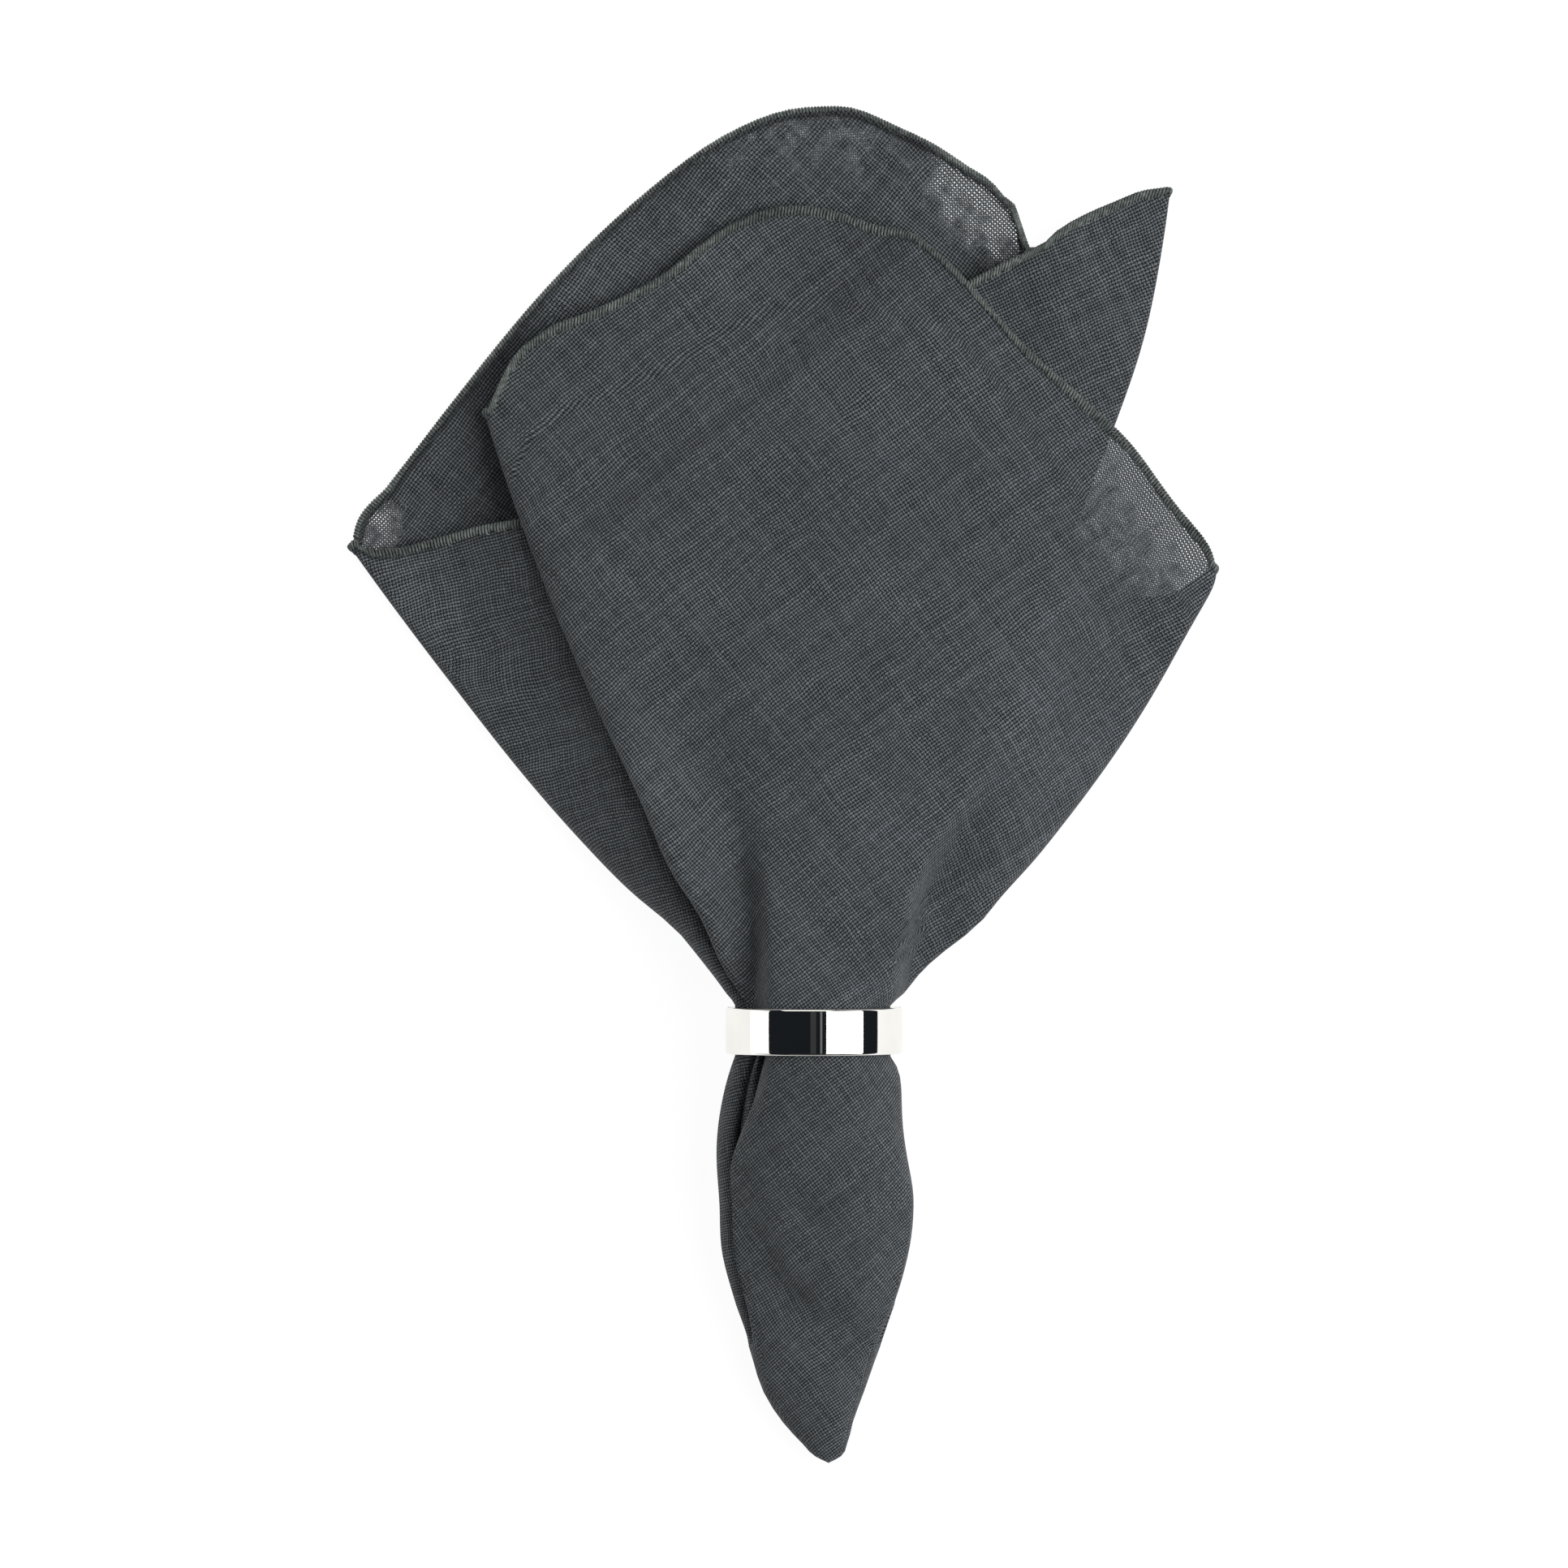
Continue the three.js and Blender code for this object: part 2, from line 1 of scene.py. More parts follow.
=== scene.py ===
# Cloth napkin in a ring: a slubby slate grey linen napkin drawn by its middle through a polished band.
# The tables hold millimetres measured from the middle of the ring, with +Y up the fan; MM turns them
# into metres. The napkin is one thin sheet that runs back and forth in eight layers, as its solid does.

import math

import bpy
import numpy as np
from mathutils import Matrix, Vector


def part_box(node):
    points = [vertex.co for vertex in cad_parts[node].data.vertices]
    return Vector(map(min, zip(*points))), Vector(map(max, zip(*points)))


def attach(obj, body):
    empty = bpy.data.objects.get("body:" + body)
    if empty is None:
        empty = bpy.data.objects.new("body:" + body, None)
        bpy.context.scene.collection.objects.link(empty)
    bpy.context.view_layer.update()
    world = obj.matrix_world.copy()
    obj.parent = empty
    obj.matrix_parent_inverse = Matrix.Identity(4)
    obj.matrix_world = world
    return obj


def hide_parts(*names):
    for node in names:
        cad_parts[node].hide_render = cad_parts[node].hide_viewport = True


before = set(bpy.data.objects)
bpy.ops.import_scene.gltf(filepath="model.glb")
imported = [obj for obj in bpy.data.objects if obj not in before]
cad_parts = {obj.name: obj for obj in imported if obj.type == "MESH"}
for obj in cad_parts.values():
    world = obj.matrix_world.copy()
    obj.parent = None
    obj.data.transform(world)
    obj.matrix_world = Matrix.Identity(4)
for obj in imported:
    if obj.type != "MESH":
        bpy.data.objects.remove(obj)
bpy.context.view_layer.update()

MM = 0.001
RING_LOW, RING_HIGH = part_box("ring")
RING_X = (RING_LOW.x + RING_HIGH.x) / 2 / MM
RING_Y = (RING_LOW.y + RING_HIGH.y) / 2 / MM
RING_RADIUS = (RING_HIGH.x - RING_LOW.x) / 2 / MM
RING_HALF_WIDTH = (RING_HIGH.y - RING_LOW.y) / 2 / MM
RING_WALL = 1.3
RING_AXIS_Z = RING_RADIUS
RING_GAP = 0.85
CLOTH = 0.36
HEM_CORE = 1.0
HEM_BAND = 2.2
BUNDLE = RING_RADIUS - RING_WALL - RING_GAP
THREAD_PITCH = 0.76

# The camera looks straight down on the middle of the part
PHOTO_WIDTH = 386.4
CAMERA_LENS = 220
SENSOR = 36


# Smooth steps and tables
def clamp(x, low, high):
    return np.minimum(high, np.maximum(low, x))


def mix(a, b, share):
    return a + (b - a) * share


def rise(x, low, high):
    s = clamp((x - low) / (high - low), 0, 1)
    return s * s * (3 - 2 * s)


def easy_rise(x, low, high):
    s = clamp((x - low) / (high - low), 0, 1)
    return s**3 * (s * (6 * s - 15) + 10)


class Curve:
    """A smooth curve through a table's points, straight past its ends."""

    def __init__(self, keys, values):
        self.keys = np.array(keys, float)
        self.values = np.array(values, float)
        gaps = np.diff(self.keys)
        slopes = np.diff(self.values) / gaps
        before, after = slopes[:-1], slopes[1:]
        mean = (before * gaps[1:] + after * gaps[:-1]) / (gaps[:-1] + gaps[1:])
        limit = 3 * np.minimum(abs(before), abs(after))
        inner = np.where(before * after <= 0, 0, np.sign(mean) * np.minimum(abs(mean), limit))
        self.tangents = np.concatenate([slopes[:1], inner, slopes[-1:]])

    def __call__(self, at):
        at = np.asarray(at, float)
        k, v, t = self.keys, self.values, self.tangents
        i = clamp(np.searchsorted(k, at) - 1, 0, len(k) - 2).astype(int)
        h = k[i + 1] - k[i]
        s = clamp((at - k[i]) / h, 0, 1)
        inside = (
            (2 * s**3 - 3 * s**2 + 1) * v[i]
            + (s**3 - 2 * s**2 + s) * h * t[i]
            + (3 * s**2 - 2 * s**3) * v[i + 1]
            + (s**3 - s**2) * h * t[i + 1]
        )
        below = np.minimum(at - k[0], 0) * clamp(t[0], -1.2, 1.2)
        above = np.maximum(at - k[-1], 0) * clamp(t[-1], -1.2, 1.2)
        return inside + below + above


def curves(columns, rows):
    """One curve for each column after the first, over the first."""
    cells = list(zip(*rows))
    return {name: Curve(cells[0], cells[i + 1]) for i, name in enumerate(columns[1:])}


# Layers: level from the table up, and the folds they run between
LAYERS = {
    "back": (0, "left", "rear"),
    "inner": (1, "rear", "low"),
    "peak_rear": (2, "low", "peak"),
    "peak": (3, "peak", "middle"),
    "under": (4, "middle", "right"),
    "front": (7, "right", "face"),
    "lining": (6, "face", "high"),
    "flap": (5, "high", "left"),
}
TOP_LEVEL = 7

# Folds: side, levels they join, the same in the smooth tip, y of their end, and whether they are hidden
FOLDS = {
    "left": dict(side=-1, levels=(0, 5), tip=(0, 3.2), end=118.6),
    "face": dict(side=-1, levels=(6, 7), tip=(5.3, 7), end=152.6, corner=True),
    "low": dict(side=-1, levels=(1, 2), tip=(2.1, 2.4), end=128, hidden=True),
    "middle": dict(side=-1, levels=(3, 4), tip=(3.9, 4.3), end=143, hidden=True),
    "high": dict(side=1, levels=(5, 6), tip=(4.0, 4.4), end=185, hidden=True),
    "rear": dict(side=1, levels=(0, 1), tip=(0, 1.5), end=192.6, corner=True),
    "peak": dict(side=1, levels=(2, 3), tip=(2.9, 3.3), end=207.8),
    "right": dict(side=1, levels=(4, 7), tip=(5.0, 7), end=114.5),
}

# X of each fold line, one row for each distance from the middle of the ring
FOLD_ORDER = ["left", "face", "low", "middle", "high", "rear", "peak", "right"]
FOLD_LINES = curves(["y", *FOLD_ORDER], [
    (0, -19.6, -19.2, -14.0, -11.0, 10.0, 12.0, 18.0, 19.6),
    (6.2, -19.6, -19.2, -14.0, -11.0, 10.0, 12.0, 18.0, 19.6),
    (9, -21.6, -21.2, -15.4, -11.6, 10.8, 13.4, 19.0, 22.8),
    (14, -25.4, -24.6, -18.5, -13.0, 12.5, 16.2, 21.5, 27.0),
    (30, -41.6, -31.6, -26.0, -17.5, 18.0, 23.0, 29.5, 43.6),
    (54, -64.2, -41.4, -38.0, -25.0, 26.0, 33.0, 39.5, 64.0),
    (86, -90.0, -56.3, -51.0, -33.5, 34.0, 43.5, 51.0, 85.6),
    (118, -113.8, -69.4, -59.0, -40.0, 38.5, 49.5, 62.2, 100.2),
    (152, -137.0, -81.2, -66.0, -45.0, 36.0, 52.5, 74.6, 112.0),
    (192, -164.0, -92.0, -74.0, -49.0, 23.0, 52.0, 85.4, 124.0),
    (230, -190.0, -102.0, -82.0, -53.0, 20.0, 51.0, 90.5, 134.0),
])

# Hem of each layer between its two folds, from left to right, as x and y
HEM_LINES = {
    "back": [
        (-111.6, 125.6), (-105.4, 133.6), (-99, 141.6), (-92.8, 149.6), (-66.6, 181.6), (-41.8, 205.6),
        (-19.6, 221.6), (-6, 226.8), (6, 227.6), (23.2, 221.6), (37.6, 213.6), (47.6, 205.6), (51, 199.6),
    ],
    "inner": [(-40, 133), (0, 145), (25, 160), (44, 181)],
    "peak_rear": [(-40, 142), (0, 163), (40, 182), (70, 197)],
    "peak": [
        (-10, 160), (15, 172.5), (39, 184), (52.4, 191.6), (62.4, 197.6), (74.8, 204.2), (81.4, 207.2),
    ],
    "under": [(-20, 134), (10, 121), (40, 110), (60, 105.5), (80, 105.5), (92, 108.5)],
    "front": [
        (-76.2, 163.4), (-67.6, 171.4), (-54.2, 177.2), (-37.6, 185.8), (-21.2, 198), (-12.8, 201.8),
        (-4, 203), (4.2, 201.8), (15, 198), (24.6, 195.6), (37.4, 184), (50.6, 168.6), (67.2, 153.6),
        (78.8, 143), (89.6, 128.8), (97, 118),
    ],
    "lining": [(-62, 158), (-30, 174), (0, 183), (14, 186)],
    "flap": [
        (-110.6, 116.8), (-105.8, 117.2), (-95.2, 119.8), (-83, 123.2), (-73.8, 124.8), (-55, 128),
        (-34.6, 137), (-12, 157), (6, 172), (17, 180),
    ],
}

# Tail from above: tip, and left and right edge for each y
TAIL_TIP = (3.6, -107, 4.6)
TAIL_EDGES = curves(["y", "left", "right"], [
    (-107, 3.6, 3.6),
    (-105.5, 0.6, 6.4),
    (-102.4, -2.6, 8.0),
    (-96.4, -8.0, 9.6),
    (-90.4, -11.8, 11.8),
    (-78.4, -15.8, 16.0),
    (-66.4, -19.8, 20.8),
    (-54.4, -22.9, 23.4),
    (-42.4, -23.5, 24.0),
    (-30.4, -24.2, 22.8),
    (-18.4, -23.0, 21.6),
    (-9, -20.6, 20.2),
    (-6.2, -19.6, 19.6),
    (0, -19.6, 19.6),
])

# In the tail and by the ring the front's left fold lies snug on the flap's; it runs out to the left edge
FACE_SNUG = 5.15
FACE_FREE = (12, 34)
FACE_IN_TAIL = Curve([-60, -42, -34.4, -26.4, -18, -6.2], [-1, -1, -0.99, -0.88, -0.75, -0.7])

# Stack of the layers: where the lowest runs, and how much higher the front one is
FLOOR_GAP = 0.2
STACK = curves(["y", "base", "height"], [
    (-107, 4.6, 0),
    (-105.5, 3.0, 4),
    (-102.4, 1.8, 7),
    (-96.4, 0.5, 10.7),
    (-90.4, FLOOR_GAP, 13.8),
    (-78.4, FLOOR_GAP, 18.3),
    (-66.4, FLOOR_GAP, 22.8),
    (-54.4, FLOOR_GAP, 26.8),
    (-42.4, FLOOR_GAP, 30.3),
    (-30.4, FLOOR_GAP, 33.3),
    (-18.4, FLOOR_GAP, 36.3),
    (-9, 1.6, 38.9),
    (-6.2, RING_AXIS_Z - BUNDLE, 2 * BUNDLE),
    (6.2, RING_AXIS_Z - BUNDLE, 2 * BUNDLE),
    (9, 1.6, 39.1),
    (14, 0.8, 37.8),
    (22, FLOOR_GAP, 34.9),
    (30, FLOOR_GAP, 31.8),
    (54, FLOOR_GAP, 26.8),
    (86, FLOOR_GAP, 22.2),
    (118, FLOOR_GAP, 19.2),
    (152, FLOOR_GAP, 17.2),
    (192, FLOOR_GAP, 15.7),
    (230, FLOOR_GAP, 14.9),
])

# How the layers settle, as in the solid
FOLD_RADIUS = 5
OVERLAP = 2
SETTLE = 42
ROUND_RING, ROUND_FLAT = 6.2, 44
PLEATS_DEEP, PLEATS_GONE = -55, -78
PLEATS_FIRST_ROW = -68

# Rolls are even on both sides of their line. A step lies on one side of it, seen along the line: 1 right,
# -1 left, and comes back over its spread. Each point is x, y, height, width, and for a step its spread.
ROLLS = [
    ("front", [(-27, 24, 0, 9), (-42, 60, 3.2, 9), (-59, 100, 3.2, 9), (-72, 140, 2.4, 9), (-76, 152, 1, 8)]),
    ("flap", [(-50, 46, 0, 8), (-80, 80, 1.6, 8), (-104, 112, 0.6, 8)]),
    ("front", [(46, 42, 0.5, 7), (70, 72, 1.8, 9), (90, 104, 0.8, 9)]),
    ("front", [(4, 30, 0, 12), (8, 60, 1.6, 15), (14, 90, 1.4, 18), (6, 130, 0, 18)]),
    ("front", [(-70, 104, 0, 4), (-60, 114, 0.5, 4), (-35, 138, 0.7, 4), (-6, 161, 0.5, 4), (12, 181, 0, 5)]),
    ("front", [(-66, 127, 0, 4), (-52, 136, -0.8, 5), (-38, 144, -0.5, 5), (-28, 149, 0, 5)]),
    ("front", [(-70, 137, 0, 4), (-54, 148, -0.7, 5), (-36, 158, 0, 5)]),
    ("front", [(-46, 60, 0, 8), (-30, 76, -1.6, 12), (-22, 96, 0, 14)]),
    ("front", [(52, 66, 0, 8), (62, 84, -1.0, 10), (70, 104, 0, 10)]),
    ("front", [(10, 132, 0, 12), (30, 146, -0.8, 14), (44, 158, 0, 10)]),
    ("front", [(-11, -43, 0, 3), (-3, -45, -1.9, 2.6), (7, -48, 0, 3)]),
    ("front", [(17, -12, 0, 3), (18.4, -24, 1.4, 3), (20.5, -38, 1.3, 3), (22, -48, 0, 3)]),
    ("back", [(29, 221, 2.6, 5), (23, 212, 2.2, 5), (17, 202, 1.4, 5), (10, 190, 0, 5)]),
    ("back", [(8, 224, 1.6, 5), (2, 214, 1.2, 5), (-6, 203, 0, 5)]),
    ("back", [(-30, 212, 1.0, 6), (-36, 202, 0.9, 6), (-46, 190, 0, 6)]),
    ("peak", [(62, 196, 1.0, 5), (60, 178, 1.4, 6), (58, 158, 0.6, 6)]),
    ("flap", [(-72, 124, 0.8, 4), (-74, 112, 0.8, 5), (-70, 96, 0, 6)]),
]
STEPS = [
    ("front", -1, [
        (-19.5, -36, 0, 5, 14), (-17.6, -27, -1.2, 5, 14), (-14.5, -18, -2.6, 5, 14),
        (-12.4, -7, -5.0, 5, 14), (-12.4, 0, -6.0, 5, 13), (-12.4, 8, -8.6, 4.4, 12),
        (-12.8, 20, -8.4, 5, 14), (-14, 36, -6.0, 7, 20), (-17, 54, -3.0, 10, 28),
        (-23, 74, -1.0, 14, 30), (-31, 90, 0, 16, 32),
    ]),
    ("front", 1, [
        (16.5, -14, 0, 3, 10), (18, -2, -4, 3.4, 11), (20.5, 6, -7, 3.6, 13),
        (21.4, 12, -12, 3.8, 16), (23, 22, -13, 4.2, 22), (25.6, 34, -11, 5, 27),
        (31.5, 46, -7.6, 6, 30), (39.4, 57, -4.6, 7, 30), (48, 70, -2.2, 10, 30), (58, 84, 0, 14, 32),
    ]),
    ("front", 1, [
        (24, 197, -2.2, 5, 40), (8, 180, -3.6, 5, 44), (-6, 162, -3.4, 5, 46), (-20, 150, -3.0, 5, 44),
        (-35, 139, -2.4, 5, 38), (-61, 114, -1.2, 5, 30), (-70, 104, 0, 5, 30),
    ]),
    ("front", 1, [
        (-20.6, -36, 0, 5, 20), (-13.2, -45, -2.2, 5, 26), (-6.3, -60.7, -3.2, 5, 26),
        (2, -68, -2.8, 5, 26), (9.4, -70.7, -1.6, 5, 24), (17, -72.4, 0, 5, 20),
    ]),
]

# Small shifts of all layers in plan, which round the corners: x, y, shift in x and y, and reach
SHIFTS = [
    (96, 114, 2.2, 0, 14), (101, 114.5, -2, -0.3, 4), (52, 196, 3.4, 0, 5.5), (79, 207, 0, -0.9, 9),
    (-112, 123, -1.0, 1.5, 6), (82, 168, 1.2, 0, 22),
    (-36, 25, 1.8, 0, 9), (38, 25, 1.8, 0, 9), (20.5, -11, 1.4, 0, 9), (22, -42, 1.6, 0, 18),
]

# Threads run along this angle in the plan of each layer, and at right angles to it
THREAD_ANGLE = {
    "back": 48, "inner": 20, "peak_rear": -30, "peak": 27,
    "under": -20, "front": 37, "lining": 60, "flap": 12,
}
THREAD_FAN = 0.0006

# Single stretches of cloth that the pale table shows through: layer, middle on the hem, half length along
# the hem, depth, direction of the hem in degrees, and how open the weave looks
SHEER_SPOTS = [
    ("front", (87, 131), 31, 27, -55, 1.0),
    ("back", (43, 207), 20, 15, -50, 0.9),
    ("back", (-110, 124), 10, 9, 50, 0.6),
    ("back", (6, 226), 34, 20, -4, 0.28),
]
SHEER_FADE = 7
SHEER_INSIDE = 0.34

# Stations round the loop and rows from the tip to the hem
LAYER_STATIONS = {
    "back": 62, "inner": 26, "peak_rear": 26, "peak": 34,
    "under": 30, "front": 92, "lining": 26, "flap": 52,
}
FOLD_STATIONS = 9
EVEN_AT = {"back": 188, "peak": 188, "front": 150, "flap": 122}
EVEN_AT_DEFAULT = 118
CLOSER_AT_FOLDS = 0.45
TIP_ROWS = [-106.7, -106.2, -105.4, -104.2, -102.4, -100, -97, -93.5, -89.5, -85.5, -81.5, PLEATS_GONE]
FADE_ROWS = 3
TAIL_ROWS = np.linspace(PLEATS_FIRST_ROW, -6.2, 26)
RING_ROWS = [-2, 2]
NEAR_ROWS = [6.2, 7.6, 9.2, 11.2, 13.6, 16.4, 19.6, 23.2, 27.2, 32]
FAR_ROWS = 60

# The last rows make the hem: how far back from the edge each lies, and half its thickness
EDGE_BACK = [HEM_BAND, HEM_BAND - 0.35, HEM_BAND / 2, 0.3, 0]
EDGE_HALF = [CLOTH / 2, HEM_CORE / 2 - 0.1, HEM_CORE / 2, HEM_CORE / 2 - 0.12, 0.15]

# The thread wound round the hem needs room: its lift on the table and on other layers, and its lowest rows
HEM_LIFT = (1.35, 0.3)
HEM_LOWEST = [[0.6], [1.25], [1.25], [1.25], [1.25]]


def fold_x(name, y):
    return FOLD_LINES[name](y)


def line_x(line, y):
    """X of a line of the fan: whole numbers are the folds in their order, others lie between."""
    places = np.stack([fold_x(name, y) for name in FOLD_ORDER])
    i = clamp(np.floor(line), 0, len(FOLD_ORDER) - 2).astype(int)
    i = np.broadcast_to(i, places.shape[1:])
    low = np.take_along_axis(places, i[None], 0)[0]
    high = np.take_along_axis(places, i[None] + 1, 0)[0]
    return mix(low, high, line - i)


def hem_curves():
    made = {}
    for name, (_, start, stop) in LAYERS.items():
        ends = [(float(fold_x(f, FOLDS[f]["end"])), FOLDS[f]["end"]) for f in (start, stop)]
        points = [min(ends), *HEM_LINES[name], max(ends)]
        made[name] = Curve(*zip(*points))
    return made


HEMS = hem_curves()
LAYER_AT = {level: name for name, (level, _, _) in LAYERS.items()}


def hem_on_line(layer, line):
    low, high = np.full(len(line), 20.0), np.full(len(line), 260.0)
    for _ in range(40):
        y = (low + high) / 2
        inside = HEMS[layer](line_x(line, y)) > y
        low, high = np.where(inside, y, low), np.where(inside, high, y)
    return (low + high) / 2


# The stack of the fan
def roundness(y):
    return np.where(y < 0, 1, 1 - rise(y, ROUND_RING, ROUND_FLAT))


def presence(layer, x, y):
    """1 where a layer lies, falling to 0 a little way past its folds and hem."""
    _, start, stop = LAYERS[layer]
    left, right = sorted((start, stop), key=FOLD_ORDER.index)

    def step(inside):
        return easy_rise(inside, -OVERLAP - SETTLE, -OVERLAP)

    there = step(x - fold_x(left, y)) * step(fold_x(right, y) - x) * step(HEMS[layer](x) - y)
    return 1 - (1 - there) * (1 - roundness(y))


def stack_z(level, x, y):
    z = STACK["base"](y)
    for j in range(math.ceil(np.max(level))):
        share = clamp(level - j, 0, 1)
        z = z + share * STACK["height"](y) / TOP_LEVEL * presence(LAYER_AT[j], x, y)
    return z


def fold_levels(name, y):
    low, high = FOLDS[name]["levels"]
    if name == "face":
        low = mix(FACE_SNUG, low, rise(y, *FACE_FREE))
    return low + 0 * y, high + 0 * y


def half_width(y):
    left = np.where(y < 0, TAIL_EDGES["left"](y), fold_x("left", y))
    right = np.where(y < 0, TAIL_EDGES["right"](y), fold_x("right", y))
    return (right - left) / 2, (left + right) / 2


def round_off(x, y, z, level_for_x):
    """Turns the square section of the stack into a round one in the ring and the tail."""
    half, centre = half_width(y)
    height, base, turned = STACK["height"](y), STACK["base"](y), roundness(y)
    up = 2 * (z - base) / np.maximum(height, 1e-6) - 1
    up_for_x = 2 * level_for_x / TOP_LEVEL - 1
    own = np.sqrt(1 - turned * np.minimum(up * up, 1) / 2)
    shared = np.sqrt(1 - turned * up_for_x**2 / 2)
    across = (x - centre) / half * shared / own
    edge = clamp(across, -1, 1)
    across = mix(across, np.where(turned > 0, edge, across), turned)
    return centre + half * own * across, base + height / 2 * (1 + up * np.sqrt(1 - turned * edge**2 / 2))


def level_at_fold(name, own, levels, parted):
    if FOLDS[name].get("corner"):
        return mix(own, (levels[0] + levels[1]) / 2, parted)
    return own + 0 * parted


def fold_in_fan(name, y):
    """A fold of the fan: middle of its arc, outward direction, radius, and heights of its two layers."""
    side, levels = FOLDS[name]["side"], fold_levels(name, y)
    lean = fold_x(name, y + 0.5) - fold_x(name, y - 0.5)
    length = np.hypot(1, lean)
    out_x, out_y = side / length, -side * lean / length * rise(y, ROUND_RING, 40)
    edge = fold_x(name, y)
    apart = stack_z(levels[1], edge, y) - stack_z(levels[0], edge, y)
    radius = np.minimum(apart / 2, FOLD_RADIUS)
    x, y_in = edge - radius * out_x, y - radius * out_y
    z = [stack_z(level, x, y_in) for level in levels]
    further = [stack_z(level, x + 0.5 * out_x, y_in + 0.5 * out_y) for level in levels]
    nearer = [stack_z(level, x - 0.5 * out_x, y_in - 0.5 * out_y) for level in levels]
    slope = (sum(further) - sum(nearer)) / 2
    return dict(x=x, y=y_in, out_x=out_x, out_y=out_y, radius=radius, z=z, slope=slope)


def fan_fold_points(name, turn, y):
    f, (low, high) = fold_in_fan(name, y), fold_levels(name, y)
    outwards, share = f["radius"] * np.cos(turn), (1 + np.sin(turn)) / 2
    x, y_at = f["x"] + outwards * f["out_x"], f["y"] + outwards * f["out_y"]
    z = mix(f["z"][0], f["z"][1], share) + outwards * f["slope"]
    level = mix(low, high, share)
    x, z = round_off(x, y_at, z, level_at_fold(name, level, (low, high), 1))
    return x, y_at, z, level


def fan_layer_points(layer, line, y):
    own, start, stop = LAYERS[layer]
    x0 = line_x(line, y)
    share = (x0 - fold_x(start, y)) / (fold_x(stop, y) - fold_x(start, y))
    a, b = fold_in_fan(start, y), fold_in_fan(stop, y)
    x = x0 - mix(a["radius"] * a["out_x"], b["radius"] * b["out_x"], share)
    y_at = y - mix(a["radius"] * a["out_y"], b["radius"] * b["out_y"], share)
    which = [FOLDS[name]["levels"].index(own) for name in (start, stop)]
    levels = fold_levels(start, y), fold_levels(stop, y)
    ends = [levels[k][which[k]] for k in range(2)]
    level = own + (ends[0] - own) * (1 - share) ** 5 + (ends[1] - own) * share**5
    for_x = mix(
        level_at_fold(start, ends[0], levels[0], 1),
        level_at_fold(stop, ends[1], levels[1], 1),
        share,
    )
    x, z = round_off(x, y_at, stack_z(level, x, y_at), for_x)
    return x, y_at, z, level


def fold_in_tail(name, y):
    """A fold of the tail, whose pleats run out towards the smooth tip."""
    fold = FOLDS[name]
    pleats = rise(y, PLEATS_GONE, PLEATS_DEEP)
    parted = 1 - (1 - pleats) ** 2.5
    half, _ = half_width(y)
    low, high = (mix(tip, level, parted) for tip, level in zip(fold["tip"], fold["levels"]))
    radius = parted * np.minimum((high - low) / 2 / TOP_LEVEL * STACK["height"](y), FOLD_RADIUS) / half
    at_tip = -fold["side"] if fold.get("hidden") else fold["side"]
    at_ring = fold_x(name, 0) / fold_x("right", 0)
    edge = mix(at_tip, at_ring, parted if fold.get("corner") else pleats)
    if name == "face":
        edge, low = FACE_IN_TAIL(y), mix(low, FACE_SNUG, parted)
    return edge - fold["side"] * radius, fold["side"] * radius, (low, high), parted


def tail_place(across, level, level_for_x, y):
    half, centre = half_width(y)
    up = level / TOP_LEVEL * STACK["height"](y) + STACK["base"](y)
    x, z = round_off(centre + half * across, y, up, level_for_x)
    return x, y + 0 * x, z, level


def tail_fold_points(name, turn, y):
    x, radius, levels, parted = fold_in_tail(name, y)
    level = mix(levels[0], levels[1], (1 + np.sin(turn)) / 2)
    for_x = level_at_fold(name, level, levels, parted)
    return tail_place(x + radius * np.cos(turn), level, for_x, y)


def tail_layer_points(layer, line, y):
    own, start, stop = LAYERS[layer]
    ends = []
    for name in (start, stop):
        x, _, levels, parted = fold_in_tail(name, y)
        level = levels[FOLDS[name]["levels"].index(own)]
        ends.append((x, level, level_at_fold(name, level, levels, parted), fold_x(name, 0)))
    share = (line_x(line, 0 * line) - ends[0][3]) / (ends[1][3] - ends[0][3])
    x, level, for_x = (mix(ends[0][i], ends[1][i], share) for i in range(3))
    return tail_place(x, level, for_x, y)


# Stations round the loop: for each layer its lines, then the turn of its second fold
def stations():
    """Groups of stations in order: (kind, name, line or turn values, y of the end of each)."""
    groups = []
    for layer, (level, start, stop) in LAYERS.items():
        at = EVEN_AT.get(layer, EVEN_AT_DEFAULT)
        at_even = [float(fold_x(name, at)) for name in FOLD_ORDER]
        ends = [float(fold_x(name, at)) for name in (start, stop)]
        share = np.linspace(0, 1, LAYER_STATIONS[layer] + 2)[1:-1]
        share = share - CLOSER_AT_FOLDS * np.sin(2 * math.pi * share) / (2 * math.pi)
        places = mix(*ends, share)
        line = np.interp(places, at_even, range(len(FOLD_ORDER)))
        groups.append(("layer", layer, line, hem_on_line(layer, line)))
        upwards = 1 if FOLDS[stop]["levels"][0] == level else -1
        turn = upwards * np.linspace(-math.pi / 2, math.pi / 2, FOLD_STATIONS)
        groups.append(("fold", stop, turn, np.full(FOLD_STATIONS, float(FOLDS[stop]["end"]))))
    return groups


def points_at(groups, y_of_group):
    """X, y, z and level of all stations, for rows at the distances given for each group of stations."""
    parts = []
    for (kind, name, along, _), y in zip(groups, y_of_group):
        tail = y[0, 0] < 0
        if kind == "fold":
            made = (tail_fold_points if tail else fan_fold_points)(name, along, y)
        else:
            made = (tail_layer_points if tail else fan_layer_points)(name, along, y)
        parts.append(np.stack([np.broadcast_to(c, y.shape) for c in made], axis=1))
    return np.concatenate(parts, axis=2)


